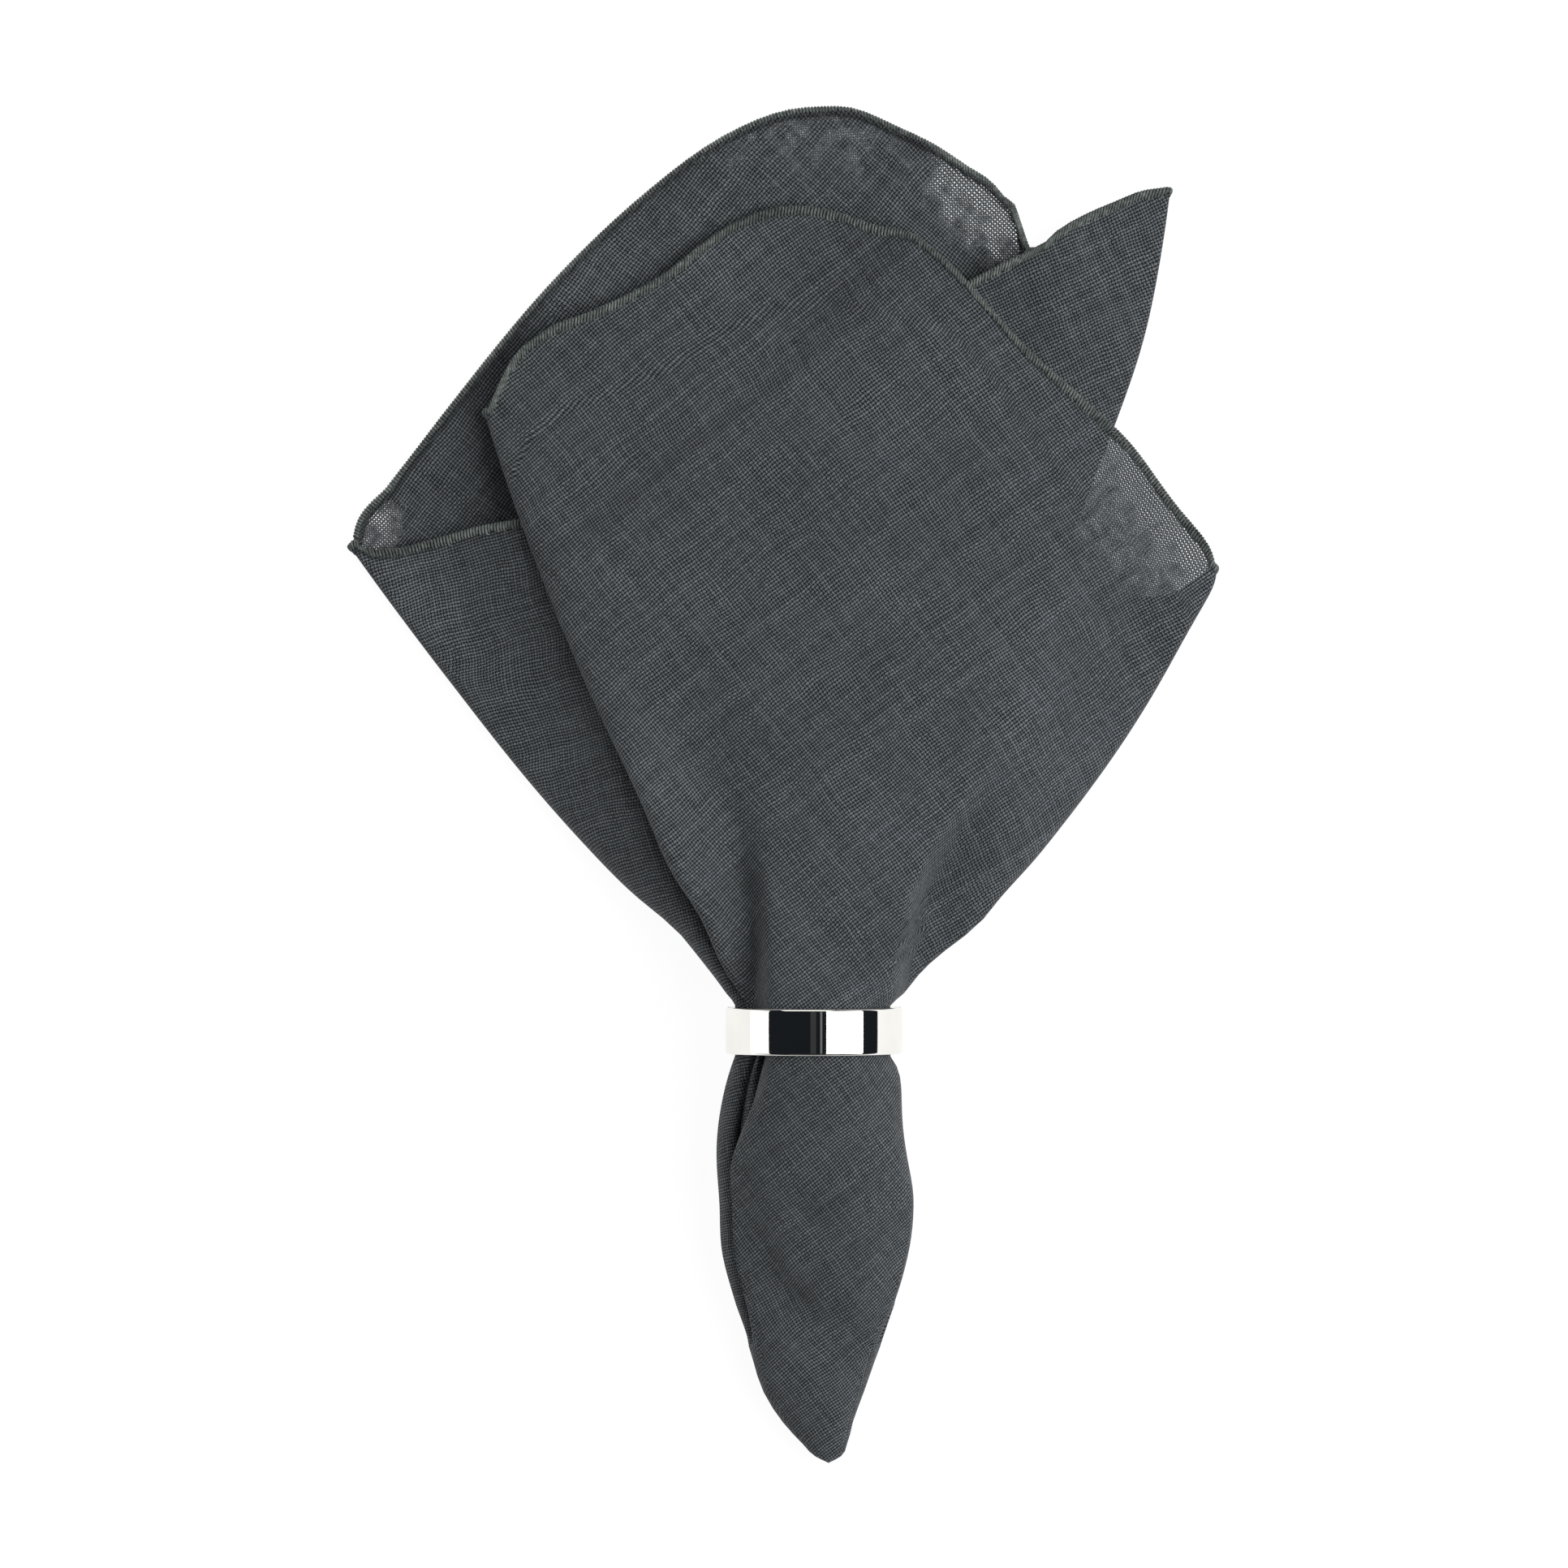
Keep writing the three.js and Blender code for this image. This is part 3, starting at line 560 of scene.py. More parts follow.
def grid(groups):
    """Rows of x, y, z and level for every station, from the tip to the hem, with half thicknesses."""

    def even(rows):
        return [np.repeat(np.array(rows, float)[:, None], len(g[2]), axis=1) for g in groups]

    def blend(a, b, shares):
        return np.array([mix(a, b, share) for share in shares])

    tip = points_at(groups, even(TIP_ROWS))
    tail = points_at(groups, even(TAIL_ROWS))
    shares = np.arange(1, FAR_ROWS + 1)[:, None] / FAR_ROWS
    fan_rows = []
    for near, group in zip(even(NEAR_ROWS), groups):
        far = mix(NEAR_ROWS[-1], group[3] - HEM_BAND - 1, shares)
        edge = group[3] - np.array(EDGE_BACK)[:, None]
        fan_rows.append(np.concatenate([near, far, edge]))
    fan = points_at(groups, fan_rows)
    for k, back in enumerate(EDGE_BACK):
        edge = fan[k - len(EDGE_BACK)]
        edge[2] += mix(*HEM_LIFT, rise(edge[2], 0.5, 3)) * rise(HEM_BAND + 0.3 - back, 0, 1.2)
    fade = blend(tip[-1], tail[0], np.arange(1, FADE_ROWS + 1) / (FADE_ROWS + 1))
    ring = blend(tail[-1], fan[0], (np.array(RING_ROWS) - TAIL_ROWS[-1]) / (NEAR_ROWS[0] - TAIL_ROWS[-1]))
    rows = np.concatenate([tip, fade, tail, ring, fan])
    halves = [CLOTH / 2] * (len(rows) - len(EDGE_HALF)) + EDGE_HALF
    return rows, np.array(halves)


# Relief of the sheet, which fades over this many levels below its own layer
RELIEF_REACH = 4


def near_line(line, x, y):
    """Distance to a line, side of it (right 1), and the line's other values there, for each point."""
    best = np.full(np.shape(x), np.inf)
    side = np.ones(np.shape(x))
    values = [np.zeros(np.shape(x)) for _ in line[0][2:]]
    for (ax, ay, *first), (bx, by, *second) in zip(line, line[1:]):
        dx, dy = bx - ax, by - ay
        t = clamp(((x - ax) * dx + (y - ay) * dy) / (dx * dx + dy * dy), 0, 1)
        distance = np.hypot(x - ax - t * dx, y - ay - t * dy)
        closer = distance < best
        best = np.where(closer, distance, best)
        side = np.where(closer, np.where((x - ax) * dy - (y - ay) * dx >= 0, 1, -1), side)
        values = [np.where(closer, mix(a, b, t), v) for a, b, v in zip(first, second, values)]
    return best, side, values


def in_front_of(layer, level):
    """How much of a layer's relief a level takes: all from the layer up, less for each one below it."""
    return clamp((level - LAYERS[layer][0] + RELIEF_REACH) / RELIEF_REACH, 0, 1)


def relief(x, y, level):
    z = 0 * x
    for layer, line in ROLLS:
        distance, _, (height, width) = near_line(line, x, y)
        z = z + in_front_of(layer, level) * height * np.exp(-((distance / width) ** 2))
    for layer, side, line in STEPS:
        distance, sign, (height, width, spread) = near_line(line, x, y)
        inside = distance * sign * side
        shape = rise(inside, -width / 2, width / 2) * (1 - rise(inside, width / 3, spread))
        z = z + in_front_of(layer, level) * height * shape
    return z


def shifted(x, y):
    """Plan of the sheet with its small shifts; the band stays as it is in the ring."""
    outside = rise(abs(y), RING_HALF_WIDTH, RING_HALF_WIDTH + 4)
    new_x, new_y = x, y
    for cx, cy, dx, dy, reach in SHIFTS:
        weight = outside * np.exp(-((x - cx) ** 2 + (y - cy) ** 2) / reach**2)
        new_x, new_y = new_x + dx * weight, new_y + dy * weight
    return new_x, new_y


def lumps(x, y, size, seed):
    """Smooth unevenness from -1 to 1, about size across."""
    random = np.random.default_rng(seed)
    z = 0 * x
    for _ in range(6):
        angle, phase = random.uniform(0, 2 * math.pi, 2)
        stretch = random.uniform(0.7, 1.5)
        run = (x * math.cos(angle) + y * math.sin(angle)) / size / stretch
        z = z + np.sin(2 * math.pi * run + phase + 1.3 * np.sin(math.pi * run * 0.6 + angle))
    return z / 3


# Gathers that only the covered layers have, where the cloth is crowded, and how many more the fan has
GATHERS = 11
MORE_GATHERS = 9
GATHER_DEPTH = {"tail": 1.9, "ring": 1.3, "fan": 1.25}


def gathers(x, y, level):
    half, centre = half_width(y)
    across = (x - centre) / half
    covered = rise(level, 0.2, 1) * rise(6.9 - level, 0, 0.9)
    under_front = rise(HEMS["front"](x) - y, 10, 30) * rise(fold_x("right", y) - x, 6, 20)
    under_front = under_front * rise(x - fold_x("face", y), 4, 16)
    in_tail = rise(y, -96, -80) * rise(0.92 - abs(across), 0, 0.25)
    share = np.where(y < 6.2, in_tail, under_front)
    in_fan = mix(GATHER_DEPTH["ring"], GATHER_DEPTH["fan"], rise(y, 6, 60))
    depth = np.where(y < -8, GATHER_DEPTH["tail"], in_fan)
    count = GATHERS + MORE_GATHERS * rise(y, 45, 75)
    wave = np.sin(math.pi * count * across + 0.8 * np.sin(y / 17))
    return covered * share * depth * wave


def shaped(rows):
    """The sheet's points with its relief, and its levels."""
    x, y, z, level = (rows[:, i] for i in range(4))
    z = z + relief(x, y, level) + gathers(x, y, level)
    free = rise(abs(y), 8, 30)
    wavy = 0.42 * lumps(x, y, 34, 3) + 0.16 * lumps(x, y, 13, 7)
    z = z + free * wavy * rise(level, 0, 1)
    z = z + free * 0.5 * clamp(wavy + 0.2, 0, 1) * (1 - rise(level, 0, 1))
    lowest = np.full((len(z), 1), float(FLOOR_GAP))
    lowest[-len(EDGE_BACK) :] = HEM_LOWEST
    x, y = shifted(x, y)
    return np.stack([x, y, np.maximum(z, lowest)], axis=-1), level


def thread_places(points, groups):
    """For each layer, its stations and the coordinates of their points along its threads."""
    starts = np.cumsum([0] + [len(g[2]) for g in groups])
    total = starts[-1]
    places = {}
    for k, (kind, name, _, _) in enumerate(groups):
        if kind != "layer":
            continue
        before, after = FOLD_STATIONS // 2 + 1, FOLD_STATIONS // 2 + 1
        index = np.arange(starts[k] - before, starts[k + 1] + after) % total
        own = points[:, index]
        step = np.hypot(np.diff(own[..., 0], axis=1), np.diff(own[..., 2], axis=1))
        anchor = before + (starts[k + 1] - starts[k]) // 2
        run = np.concatenate([np.zeros((len(own), 1)), np.cumsum(step, axis=1)], axis=1)
        forward = 1 if FOLD_ORDER.index(LAYERS[name][1]) < FOLD_ORDER.index(LAYERS[name][2]) else -1
        u = own[:, anchor : anchor + 1, 0] + forward * (run - run[:, anchor : anchor + 1])
        flat = u + 1j * (own[..., 1] - 60)
        flat = flat + 1j * THREAD_FAN * flat**2 / 2
        turned = flat * np.exp(-1j * math.radians(THREAD_ANGLE[name]))
        places[name] = (index, turned)
    return places


def sheer(points, level):
    """How open the weave looks: most beside the hem, less further in."""
    amount = np.zeros(level.shape)
    for layer, (cx, cy), length, depth, angle, strength in SHEER_SPOTS:
        a = math.radians(angle)
        dx, dy = points[..., 0] - cx, points[..., 1] - cy
        along, off = dx * math.cos(a) + dy * math.sin(a), dy * math.cos(a) - dx * math.sin(a)
        hem_side = mix(SHEER_INSIDE, 1, np.exp(-abs(off) / SHEER_FADE))
        spot = strength * hem_side * (1 - rise(np.hypot(along / length, off / depth), 0.7, 1.05))
        own = rise(1 - abs(level - LAYERS[layer][0]), 0, 0.5)
        amount = np.maximum(amount, spot * own)
    return amount


def outward(points):
    """Unit normals that face out of the loop."""
    ahead = np.concatenate([points[1:], points[-1:]])
    behind = np.concatenate([points[:1] - [0, 0.3, 0], points[:-1]])
    behind[0] = TAIL_TIP
    along = ahead - behind
    around = np.roll(points, -1, axis=1) - np.roll(points, 1, axis=1)
    normal = np.cross(along, around)
    return normal / np.maximum(np.linalg.norm(normal, axis=2, keepdims=True), 1e-9)


def to_frame(points):
    return (np.asarray(points) + [RING_X, RING_Y, 0]) * MM


def new_mesh(name, vertices, faces):
    mesh = bpy.data.meshes.new(name)
    mesh.from_pydata(vertices.tolist(), [], [tuple(f) for f in faces])
    mesh.validate()
    made = bpy.data.objects.new(name, mesh)
    bpy.context.scene.collection.objects.link(made)
    mesh.polygons.foreach_set("use_smooth", [True] * len(mesh.polygons))
    return made


def make_napkin(groups, points, halves, level):
    normal = outward(points)
    outer = points + normal * halves[:, None, None]
    inner = points - normal * halves[:, None, None]
    count, around = points.shape[:2]
    tips = np.array(TAIL_TIP) + [[0, -CLOTH / 2, 0], [0, CLOTH / 2, 0]]
    vertices = np.concatenate([outer.reshape(-1, 3), inner.reshape(-1, 3), tips])
    size = count * around
    j, i = np.meshgrid(np.arange(count - 1), np.arange(around), indexing="ij")
    k = (i + 1) % around
    a, b = j * around + i, j * around + k
    c, d = (j + 1) * around + k, (j + 1) * around + i
    faces = [np.stack([a, d, c, b], -1).reshape(-1, 4), np.stack([a, b, c, d], -1).reshape(-1, 4) + size]
    last = (count - 1) * around
    i = np.arange(around)
    k = (i + 1) % around
    rim = np.stack([last + i, size + last + i, size + last + k, last + k], -1)
    quads = np.concatenate([*faces, rim]).tolist()
    poles = [[2 * size, p, q] for p, q in zip(i, k)] + [[2 * size + 1, size + q, size + p] for p, q in zip(i, k)]
    napkin = new_mesh("napkin_cloth", to_frame(vertices), quads + poles)
    add_thread_map(napkin, groups, points)
    # The hem rows carry the mask for the painted shade that the linen puts on the hem band.
    at_hem = np.zeros(level.shape)
    at_hem[-len(EDGE_BACK) + 1 :] = 1
    for kind, amount in (("sheer", sheer(points, level)), ("hem", at_hem)):
        values = np.concatenate([amount.reshape(-1), amount.reshape(-1), [0, 0]])
        made = napkin.data.attributes.new(kind, "FLOAT", "POINT")
        made.data.foreach_set("value", values)
    return napkin


def add_thread_map(napkin, groups, points):
    """A UV map in threads: each face takes the thread directions of its own layer."""
    count, around = points.shape[:2]
    size = count * around
    layer_of, coordinate = np.zeros(around, int), {}
    for number, (name, (index, turned)) in enumerate(thread_places(points, groups).items()):
        layer_of[index[:-1]] = number
        full = np.zeros((count, around), complex)
        full[:, index] = turned
        coordinate[number] = np.concatenate([full.reshape(-1), full.reshape(-1), [full[0].mean()] * 2])
    mesh = napkin.data
    corners = np.zeros(len(mesh.loops), int)
    mesh.loops.foreach_get("vertex_index", corners)
    starts = np.zeros(len(mesh.polygons), int)
    mesh.polygons.foreach_get("loop_start", starts)
    sizes = np.zeros(len(mesh.polygons), int)
    mesh.polygons.foreach_get("loop_total", sizes)
    station = np.where(corners < 2 * size, corners % around, 0)
    face = np.repeat(np.arange(len(starts)), sizes)
    low, high = np.full(len(starts), around), np.full(len(starts), -1)
    real = corners < 2 * size
    np.minimum.at(low, face[real], station[real])
    np.maximum.at(high, face[real], station[real])
    first = np.where(high - low > around // 2, high, low)
    owner = layer_of[first][face]
    uv = np.zeros(len(corners), complex)
    for number, values in coordinate.items():
        mine = owner == number
        uv[mine] = values[corners[mine]]
    uv = uv / THREAD_PITCH
    layer = mesh.uv_layers.new(name="threads")
    layer.uv.foreach_set("vector", np.stack([uv.real, uv.imag], -1).astype(np.float32).ravel())


# Overlocked hem: one thread wound round the edge all along it
STITCH_PITCH = 1.15
STITCH_STEPS = 10
STITCH_SIDES = 5
STITCH_RADIUS = 0.3


def resampled(path, step):
    """Points of a closed path, step apart, with their places along it."""
    closed = np.concatenate([path, path[:1]])
    run = np.concatenate([[0], np.cumsum(np.linalg.norm(np.diff(closed, axis=0), axis=1))])
    count = int(run[-1] / step)
    at = np.arange(count) * run[-1] / count
    return np.stack([np.interp(at, run, closed[:, i]) for i in range(closed.shape[1])], -1)


def make_stitches(points):
    """Winds the hem's thread: up over the edge, across the top and back under, slanting forward."""
    edge, inside = points[-1], points[-5]
    normal = outward(points)[-3]
    frame_rows = np.concatenate([edge, inside, normal], axis=1)
    step = STITCH_PITCH / STITCH_STEPS
    fine = resampled(frame_rows, step)
    for _ in range(3):
        fine[:, 3:] = (np.roll(fine[:, 3:], 12, 0) + fine[:, 3:] + np.roll(fine[:, 3:], -12, 0)) / 3
    edge, inside, normal = fine[:, :3], fine[:, 3:6], fine[:, 6:]
    count = len(edge) // STITCH_STEPS * STITCH_STEPS
    edge, inside, normal = edge[:count], inside[:count], normal[:count]
    inward = inside - edge
    inward = inward / np.linalg.norm(inward, axis=1, keepdims=True)
    normal = normal - inward * (normal * inward).sum(1, keepdims=True)
    normal = normal / np.linalg.norm(normal, axis=1, keepdims=True)
    random = np.random.default_rng(11)
    stitch = np.arange(count) // STITCH_STEPS
    reach = HEM_BAND / 2 * (1 + 0.1 * random.standard_normal(count // STITCH_STEPS)[stitch])
    turn = 2 * math.pi * (np.arange(count) % STITCH_STEPS) / STITCH_STEPS
    tangent = np.roll(edge, -1, 0) - np.roll(edge, 1, 0)
    tangent = tangent / np.linalg.norm(tangent, axis=1, keepdims=True)
    middle = edge + inward * (reach - 0.1)[:, None]
    slant = 0.5 * np.cos(turn) * np.where(np.sin(turn) > 0, 1, 0.3)
    path = (
        middle
        + inward * (reach * np.cos(turn))[:, None]
        + normal * ((HEM_CORE / 2 + 0.16) * np.sin(turn))[:, None]
        + tangent * slant[:, None]
    )
    return tube("hem_stitches", path, STITCH_RADIUS, STITCH_SIDES)


def tube(name, path, radius, sides):
    """A round tube along a closed path."""
    along = np.roll(path, -1, 0) - np.roll(path, 1, 0)
    along = along / np.maximum(np.linalg.norm(along, axis=1, keepdims=True), 1e-9)
    side = np.cross(along, [0.3, 0.2, 1.0])
    side = side / np.maximum(np.linalg.norm(side, axis=1, keepdims=True), 1e-9)
    up = np.cross(side, along)
    angle = 2 * math.pi * np.arange(sides) / sides
    ring = np.cos(angle)[None, :, None] * side[:, None] + np.sin(angle)[None, :, None] * up[:, None]
    vertices = (path[:, None] + radius * ring).reshape(-1, 3)
    j, i = np.meshgrid(np.arange(len(path)), np.arange(sides), indexing="ij")
    a, b = j * sides + i, j * sides + (i + 1) % sides
    n = (j + 1) % len(path)
    faces = np.stack([a, n * sides + i, n * sides + (i + 1) % sides, b], -1).reshape(-1, 4)
    return new_mesh(name, to_frame(vertices), faces.tolist())


# Ring: a smooth band with softly rounded edges in place of the faceted one
BAND_EDGE = 0.75
BAND_STEPS = 360
BAND_CURVE = 7


def make_band():
    outer, bore, end = RING_RADIUS, RING_RADIUS - RING_WALL, RING_HALF_WIDTH
    round_edge = min(BAND_EDGE, RING_WALL / 2)
    quarter = np.linspace(0, math.pi / 2, BAND_CURVE)
    corners = [(outer, end, 1, 1), (bore, end, -1, 1), (bore, -end, -1, -1), (outer, -end, 1, -1)]
    profile = []
    for radius, y, sr, sy in corners:
        swing = quarter if sr == sy else quarter[::-1]
        for t in swing:
            r = radius - sr * round_edge * (1 - math.cos(t))
            profile.append((r, y - sy * round_edge * (1 - math.sin(t))))
    profile = np.array(profile)
    angle = 2 * math.pi * np.arange(BAND_STEPS) / BAND_STEPS
    x = profile[None, :, 0] * np.sin(angle)[:, None]
    z = RING_AXIS_Z + profile[None, :, 0] * np.cos(angle)[:, None]
    y = np.broadcast_to(profile[None, :, 1], x.shape)
    vertices = np.stack([x, y, z], -1).reshape(-1, 3)
    size = len(profile)
    j, i = np.meshgrid(np.arange(BAND_STEPS), np.arange(size), indexing="ij")
    n, k = (j + 1) % BAND_STEPS, (i + 1) % size
    faces = np.stack([j * size + i, n * size + i, n * size + k, j * size + k], -1).reshape(-1, 4)
    return new_mesh("ring_band", to_frame(vertices), faces.tolist())


# Shader terms: sockets that can be written as formulas
class Term:
    def __init__(self, tree, value):
        self.tree, self.value = tree, value

    def math(self, operation, *others):
        node = self.tree.nodes.new("ShaderNodeMath")
        node.operation = operation
        for socket, term in zip(node.inputs, (self, *others)):
            value = term.value if isinstance(term, Term) else term
            if isinstance(value, bpy.types.NodeSocket):
                self.tree.links.new(value, socket)
            else:
                socket.default_value = value
        return Term(self.tree, node.outputs[0])

    def __add__(self, other):
        return self.math("ADD", other)

    def __sub__(self, other):
        return self.math("SUBTRACT", other)

    def __mul__(self, other):
        return self.math("MULTIPLY", other)

    def __truediv__(self, other):
        return self.math("DIVIDE", other)

    def __rsub__(self, other):
        return Term(self.tree, other).math("SUBTRACT", self)

    __radd__, __rmul__ = __add__, __mul__


def vector(tree, x=0.0, y=0.0, z=0.0):
    node = tree.nodes.new("ShaderNodeCombineXYZ")
    for socket, part in zip(node.inputs, (x, y, z)):
        if isinstance(part, Term):
            tree.links.new(part.value, socket)
        else:
            socket.default_value = part
    return node.outputs[0]


def noise(tree, place, scale, detail=2.0, roughness=0.5):
    node = tree.nodes.new("ShaderNodeTexNoise")
    tree.links.new(place, node.inputs["Vector"])
    node.inputs["Scale"].default_value = scale
    node.inputs["Detail"].default_value = detail
    node.inputs["Roughness"].default_value = roughness
    return Term(tree, node.outputs["Fac"])


def random_of(tree, number):
    node = tree.nodes.new("ShaderNodeTexWhiteNoise")
    node.noise_dimensions = "1D"
    tree.links.new(number.value, node.inputs["W"])
    return Term(tree, node.outputs["Value"])


def new_material(name):
    material = bpy.data.materials.new(name)
    material.use_nodes = True
    tree = material.node_tree
    return material, tree, tree.nodes["Principled BSDF"]


def attribute(tree, name):
    node = tree.nodes.new("ShaderNodeAttribute")
    node.attribute_name = name
    return Term(tree, node.outputs["Fac"])


def ramp(tree, share, stops):
    node = tree.nodes.new("ShaderNodeValToRGB")
    tree.links.new(share.value, node.inputs["Fac"])
    elements = node.color_ramp.elements
    while len(elements) < len(stops):
        elements.new(0.5)
    for element, (place, colour) in zip(elements, stops):
        element.position = place
        element.color = (*colour, 1)
    return node.outputs["Color"]


# Half a thread's width and the run of its thick and thin places, both for a pitch of one
THREAD_HALF = 0.295
SLUB_RUN = 0.09


def linen():
    """Loose plain weave: two sets of slubby threads, painted lighter where they lie on top and darker where they
    dip (painted highlight and painted shade), with painted shade in the gaps between, open where it is sheer.
    """
    material, tree, shader = new_material("linen")
    uv = tree.nodes.new("ShaderNodeUVMap")
    uv.uv_map = "threads"
    split = tree.nodes.new("ShaderNodeSeparateXYZ")
    tree.links.new(uv.outputs["UV"], split.inputs[0])
    place = uv.outputs["UV"]
    u0, v0 = Term(tree, split.outputs[0]), Term(tree, split.outputs[1])
    u = u0 + noise(tree, place, 0.045, 1) * 3.2 + noise(tree, place, 0.3, 1) * 0.5
    elsewhere = vector(tree, v0 + 77.0, u0 - 31.0)
    v = v0 + noise(tree, elsewhere, 0.045, 1) * 3.2 + noise(tree, elsewhere, 0.3, 1) * 0.5
    iu, iv = u.math("FLOOR"), v.math("FLOOR")
    fu, fv = u - iu - 0.5, v - iv - 0.5
    warp, weft = random_of(tree, iu), random_of(tree, iv + 0.5)
    slub_u = noise(tree, vector(tree, iu * 7.31, v * SLUB_RUN), 1.0, 2)
    slub_v = noise(tree, vector(tree, u * SLUB_RUN, iv * 5.77), 1.0, 2)
    patch = noise(tree, place, 0.35, 3)
    painted_hem_shade = attribute(tree, "hem")
    open_weave = attribute(tree, "sheer")
    loose = (patch - 0.5) * 0.12
    half_u = THREAD_HALF + (warp - 0.5) * 0.06 + (slub_u - 0.5) * 0.16 + loose
    half_v = THREAD_HALF + (weft - 0.5) * 0.06 + (slub_v - 0.5) * 0.16 + loose
    across_u, across_v = fu.math("ABSOLUTE") / half_u, fv.math("ABSOLUTE") / half_v
    in_u, in_v = across_u.math("LESS_THAN", 1.0), across_v.math("LESS_THAN", 1.0)
    over = ((v - 0.5 + iu) * math.pi).math("COSINE")
    round_u = (1 - across_u * across_u).math("MAXIMUM", 0.0).math("SQRT")
    round_v = (1 - across_v * across_v).math("MAXIMUM", 0.0).math("SQRT")
    height_u = in_u * (round_u * 0.55 + over * 0.45 + 0.6)
    height_v = in_v * (round_v * 0.55 - over * 0.45 + 0.6)
    height = height_u.math("MAXIMUM", height_v)
    u_on_top = height_u.math("GREATER_THAN", height_v)
    own = u_on_top * warp + (1 - u_on_top) * weft
    slub = u_on_top * slub_u + (1 - u_on_top) * slub_v
    hole = 1 - in_u.math("MAXIMUM", in_v)
    cloud = noise(tree, place, 0.02, 3)
    fibre = noise(tree, vector(tree, u * 3.0, v * 3.0), 1.0, 2)
    # Painted highlight and painted shade: the threads' height lightens them where they lie on top and darkens
    # them where they dip under; the other terms are the threads' own uneven tone.
    light = height * 0.72 - 0.41 + (own - 0.5) * 0.08 + (slub - 0.5) * 0.16 + (cloud - 0.5) * 0.14
    light = light + (fibre - 0.5) * 0.16 + (patch - 0.5) * 0.14
    # Painted shade: the cloth of the hem band is darkened where the wound thread shades it.
    light = light * (1 - painted_hem_shade * 0.35)
    colour = ramp(tree, light, [
        (0.0, (0.010, 0.0108, 0.0112)),
        (0.28, (0.034, 0.0375, 0.0405)),
        (0.6, (0.094, 0.104, 0.114)),
        (0.92, (0.27, 0.295, 0.315)),
    ])
    # Painted shade: the gaps between the threads take a near-black colour where the shaded layers and table
    # beneath would show.
    dark = tree.nodes.new("ShaderNodeMix")
    dark.data_type = "RGBA"
    tree.links.new(hole.value, dark.inputs[0])
    tree.links.new(colour, dark.inputs[6])
    dark.inputs[7].default_value = (0.0035, 0.0038, 0.0042, 1)
    tree.links.new(dark.outputs[2], shader.inputs["Base Color"])
    shader.inputs["Roughness"].default_value = 0.85
    shader.inputs["Specular IOR Level"].default_value = 0.2
    shader.inputs["Sheen Weight"].default_value = 0.08
    shader.inputs["Sheen Roughness"].default_value = 0.5
    bump = tree.nodes.new("ShaderNodeBump")
    bump.inputs["Strength"].default_value = 0.5
    bump.inputs["Distance"].default_value = 0.15 * MM
    tree.links.new(height.value, bump.inputs["Height"])
    tree.links.new(bump.outputs["Normal"], shader.inputs["Normal"])
    cluster = noise(tree, place, 0.22, 2)
    clear = open_weave * 1.7 + (cluster - 0.5) * 2.2 + (slub_u + slub_v - 1) * 1.2 - 0.1
    clear = clear.math("MAXIMUM", 0.0).math("MINIMUM", 1.0)
    clear = hole * clear * open_weave.math("GREATER_THAN", 0.01)
    through = tree.nodes.new("ShaderNodeBsdfTransparent")
    blend = tree.nodes.new("ShaderNodeMixShader")
    tree.links.new(clear.value, blend.inputs[0])
    tree.links.new(shader.outputs[0], blend.inputs[1])
    tree.links.new(through.outputs[0], blend.inputs[2])
    tree.links.new(blend.outputs[0], tree.nodes["Material Output"].inputs["Surface"])
    return material


def stitch_thread():
    """Hem thread: a shade greener than the linen, with a fine twist."""
    material, tree, shader = new_material("hem_thread")
    where = tree.nodes.new("ShaderNodeTexCoord").outputs["Object"]
    mottle = noise(tree, where, 900, 2)
    slow = noise(tree, where, 60, 1)
    colour = ramp(tree, mottle * 0.6 + slow * 0.4, [
        (0.3, (0.050, 0.057, 0.054)),
        (0.5, (0.125, 0.142, 0.133)),
        (0.72, (0.28, 0.31, 0.29)),
    ])
    tree.links.new(colour, shader.inputs["Base Color"])
    shader.inputs["Roughness"].default_value = 0.8
    shader.inputs["Specular IOR Level"].default_value = 0.25
    bump = tree.nodes.new("ShaderNodeBump")
    bump.inputs["Strength"].default_value = 0.4
    bump.inputs["Distance"].default_value = 0.08 * MM
    tree.links.new(mottle.value, bump.inputs["Height"])
    tree.links.new(bump.outputs["Normal"], shader.inputs["Normal"])
    return material


def polished_nickel():
    """Mirror-bright plate with faint fine scratches and a warm cast."""
    material, tree, shader = new_material("polished_nickel")
    where = tree.nodes.new("ShaderNodeTexCoord").outputs["Object"]
    cloud = noise(tree, where, 90, 3)
    colour = ramp(tree, cloud, [(0.3, (0.86, 0.84, 0.79)), (0.7, (0.91, 0.90, 0.86))])
    tree.links.new(colour, shader.inputs["Base Color"])
    shader.inputs["Metallic"].default_value = 1.0
    stretch = tree.nodes.new("ShaderNodeMapping")
    stretch.inputs["Scale"].default_value = (1, 14, 1)
    stretch.inputs["Rotation"].default_value = (0, 0, 0.5)
    tree.links.new(where, stretch.inputs["Vector"])
    scratch = noise(tree, stretch.outputs[0], 500, 4, 0.7)
    rough = scratch.math("SUBTRACT", 0.62).math("MAXIMUM", 0.0) * 0.5 + 0.03
    tree.links.new(rough.value, shader.inputs["Roughness"])
    bump = tree.nodes.new("ShaderNodeBump")
    bump.inputs["Strength"].default_value = 0.02
    bump.inputs["Distance"].default_value = 0.02 * MM
    tree.links.new(scratch.value, bump.inputs["Height"])
    tree.links.new(bump.outputs["Normal"], shader.inputs["Normal"])
    return material


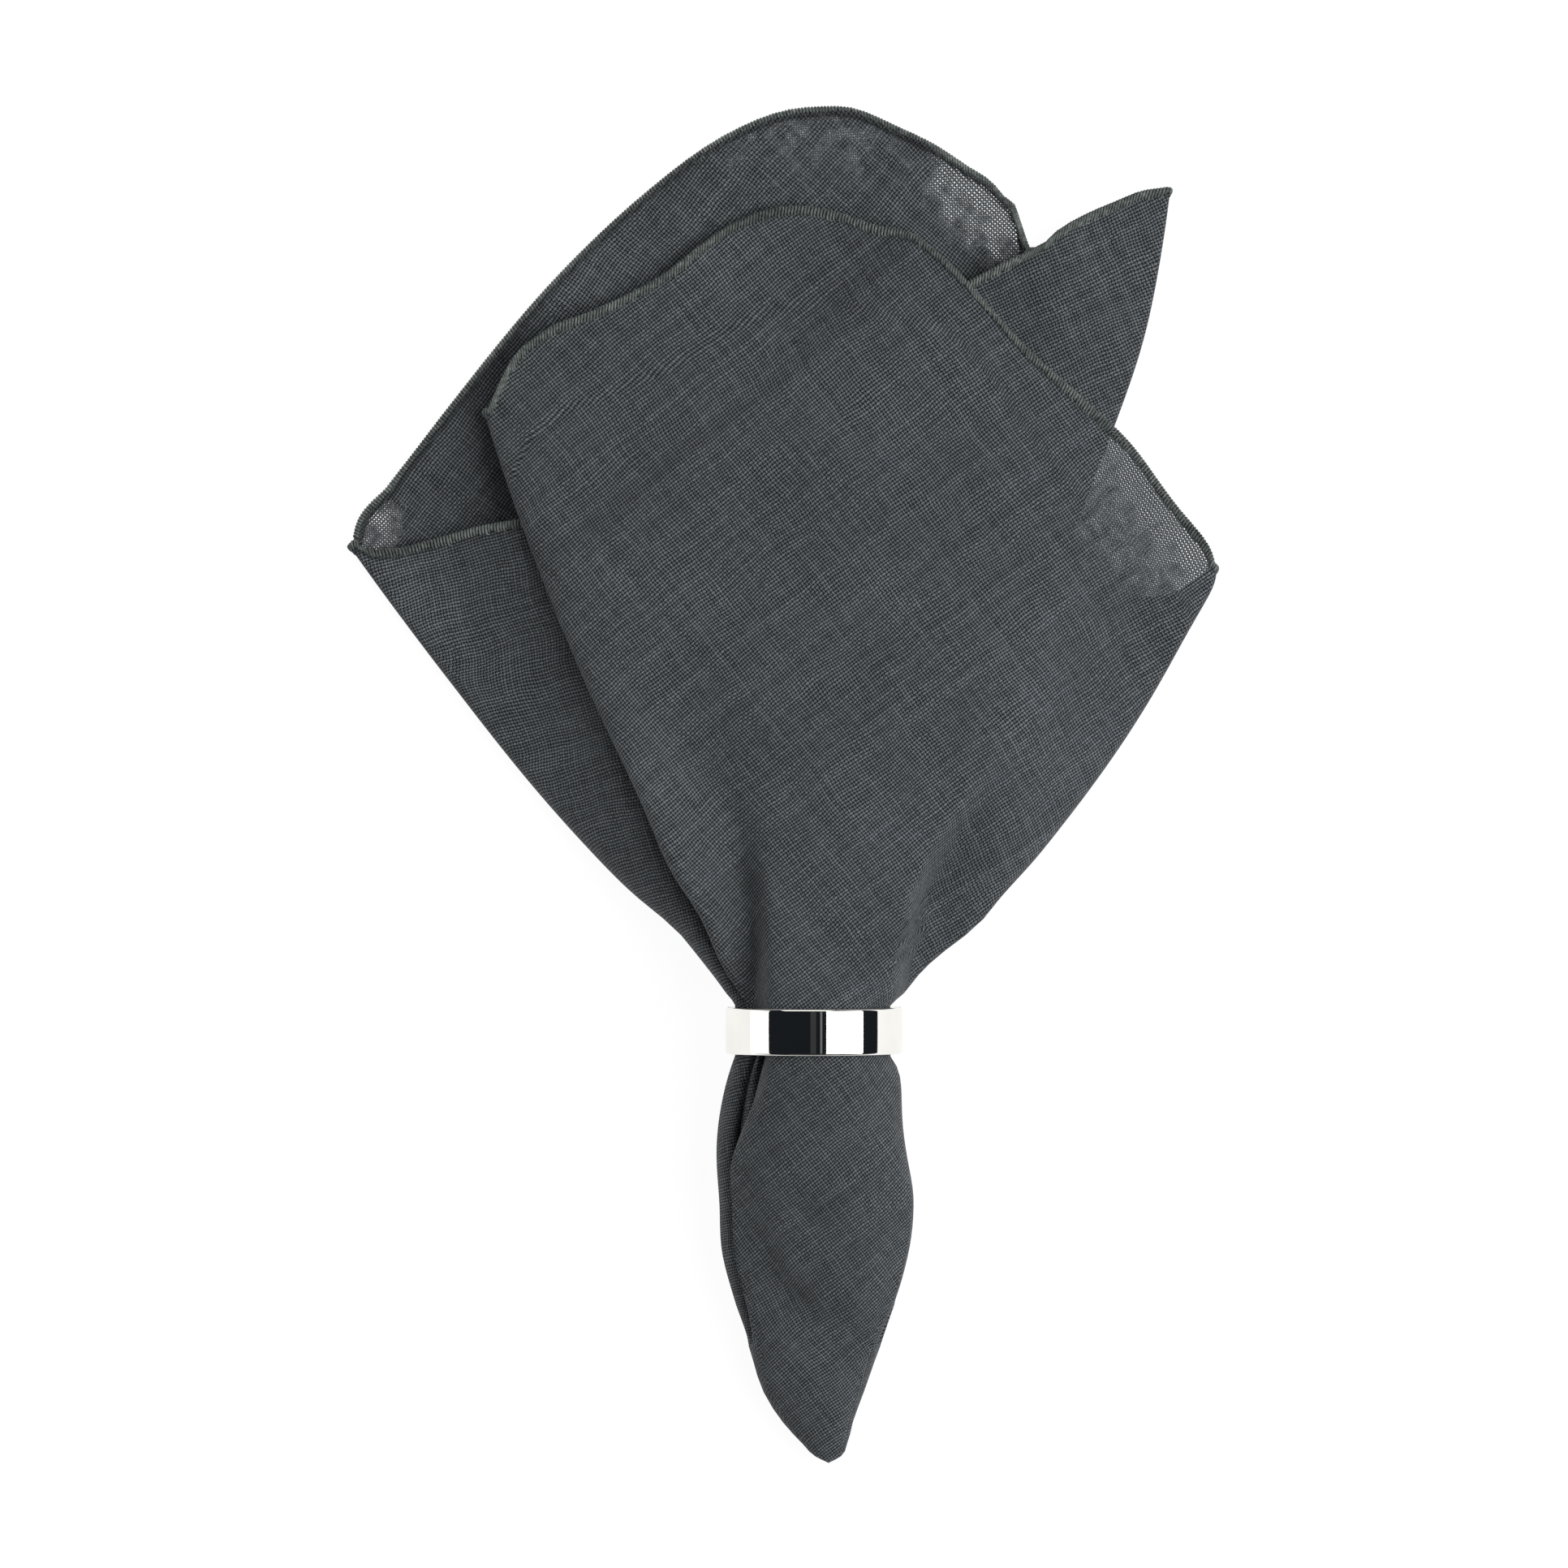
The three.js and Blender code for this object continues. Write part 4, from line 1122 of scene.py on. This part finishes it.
# Setting: camera, pale table and soft lights
def make_camera():
    camera = bpy.data.cameras.new("camera")
    camera.type = "PERSP"
    camera.lens = CAMERA_LENS
    camera.sensor_width = SENSOR
    camera.clip_end = 20
    placed = bpy.data.objects.new("camera", camera)
    placed.location = (0.0003, 0.0003, PHOTO_WIDTH * MM * CAMERA_LENS / SENSOR + 0.008)
    bpy.context.scene.collection.objects.link(placed)
    bpy.context.scene.camera = placed


FLOOR_SIDE = 8
FLOOR_GLOW = 0.95
FLOOR_WHITE = 0.1


def make_floor():
    half = FLOOR_SIDE / 2
    corners = np.array([(-half, -half, 0), (half, -half, 0), (half, half, 0), (-half, half, 0)])
    corners[:, 2] = -0.00002
    floor = new_mesh("floor", corners, [(0, 1, 2, 3)])
    material, tree, shader = new_material("pale_table")
    shader.inputs["Base Color"].default_value = (FLOOR_WHITE, FLOOR_WHITE, FLOOR_WHITE, 1)
    shader.inputs["Roughness"].default_value = 1
    shader.inputs["Specular IOR Level"].default_value = 0
    shader.inputs["Emission Color"].default_value = (1, 1, 1, 1)
    shader.inputs["Emission Strength"].default_value = FLOOR_GLOW
    floor.data.materials.append(material)


# Soft boxes: name, lean from straight up towards +X in degrees, lean towards +Y, distance, size across
# and along, and brightness of their face
SOFT_BOXES = [
    ("right_box", 40.5, 0, 1.5, 1.38, 1.3, 4.3),
    ("left_card", -75, 0, 1.5, 0.78, 1.3, 1.9),
    ("top_box", -8, 52, 1.6, 1.6, 1.0, 1.5),
    ("foot_box", 0, -56, 1.6, 1.6, 0.9, 0.1),
    ("ceiling_strip", 9, 0, 1.6, 0.07, 1.0, 0.16),
    ("ceiling_glow", -1, 0, 1.6, 0.2, 1.0, 0.03),
]


def make_lights():
    for name, lean_x, lean_y, distance, across, along, glow in SOFT_BOXES:
        light = bpy.data.lights.new(name, "AREA")
        light.shape = "RECTANGLE"
        light.size, light.size_y = across, along
        light.energy = glow * math.pi * across * along
        placed = bpy.data.objects.new(name, light)
        ax, ay = math.radians(lean_x), math.radians(lean_y)
        placed.location = (
            distance * math.sin(ax),
            distance * math.sin(ay) + RING_Y * MM,
            distance * math.cos(ax) * math.cos(ay),
        )
        placed.rotation_euler = (-ay, ax, 0)
        placed.visible_camera = False
        bpy.context.scene.collection.objects.link(placed)


def make_world():
    world = bpy.data.worlds.new("studio")
    bpy.context.scene.world = world
    world.use_nodes = True
    tree = world.node_tree
    tree.nodes.clear()
    seen = tree.nodes.new("ShaderNodeBackground")
    seen.inputs["Color"].default_value = (0.9, 0.9, 0.9, 1)
    dark = tree.nodes.new("ShaderNodeBackground")
    dark.inputs["Color"].default_value = (0.010, 0.012, 0.015, 1)
    path = tree.nodes.new("ShaderNodeLightPath")
    blend = tree.nodes.new("ShaderNodeMixShader")
    out = tree.nodes.new("ShaderNodeOutputWorld")
    tree.links.new(path.outputs["Is Camera Ray"], blend.inputs[0])
    tree.links.new(dark.outputs[0], blend.inputs[1])
    tree.links.new(seen.outputs[0], blend.inputs[2])
    tree.links.new(blend.outputs[0], out.inputs["Surface"])


make_camera()
make_floor()
make_lights()
make_world()
bpy.context.scene.view_settings.view_transform = "Standard"

GROUPS = stations()
ROWS, HALVES = grid(GROUPS)
POINTS, LEVELS = shaped(ROWS)
napkin = make_napkin(GROUPS, POINTS, HALVES, LEVELS)
napkin.data.materials.append(linen())
stitches = make_stitches(POINTS)
stitches.data.materials.append(stitch_thread())
band = make_band()
band.data.materials.append(polished_nickel())

for piece, slot_name in ((napkin, "linen"), (stitches, "linen"), (band, "metal")):
    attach(piece, "root")
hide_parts("napkin")
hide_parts("ring")
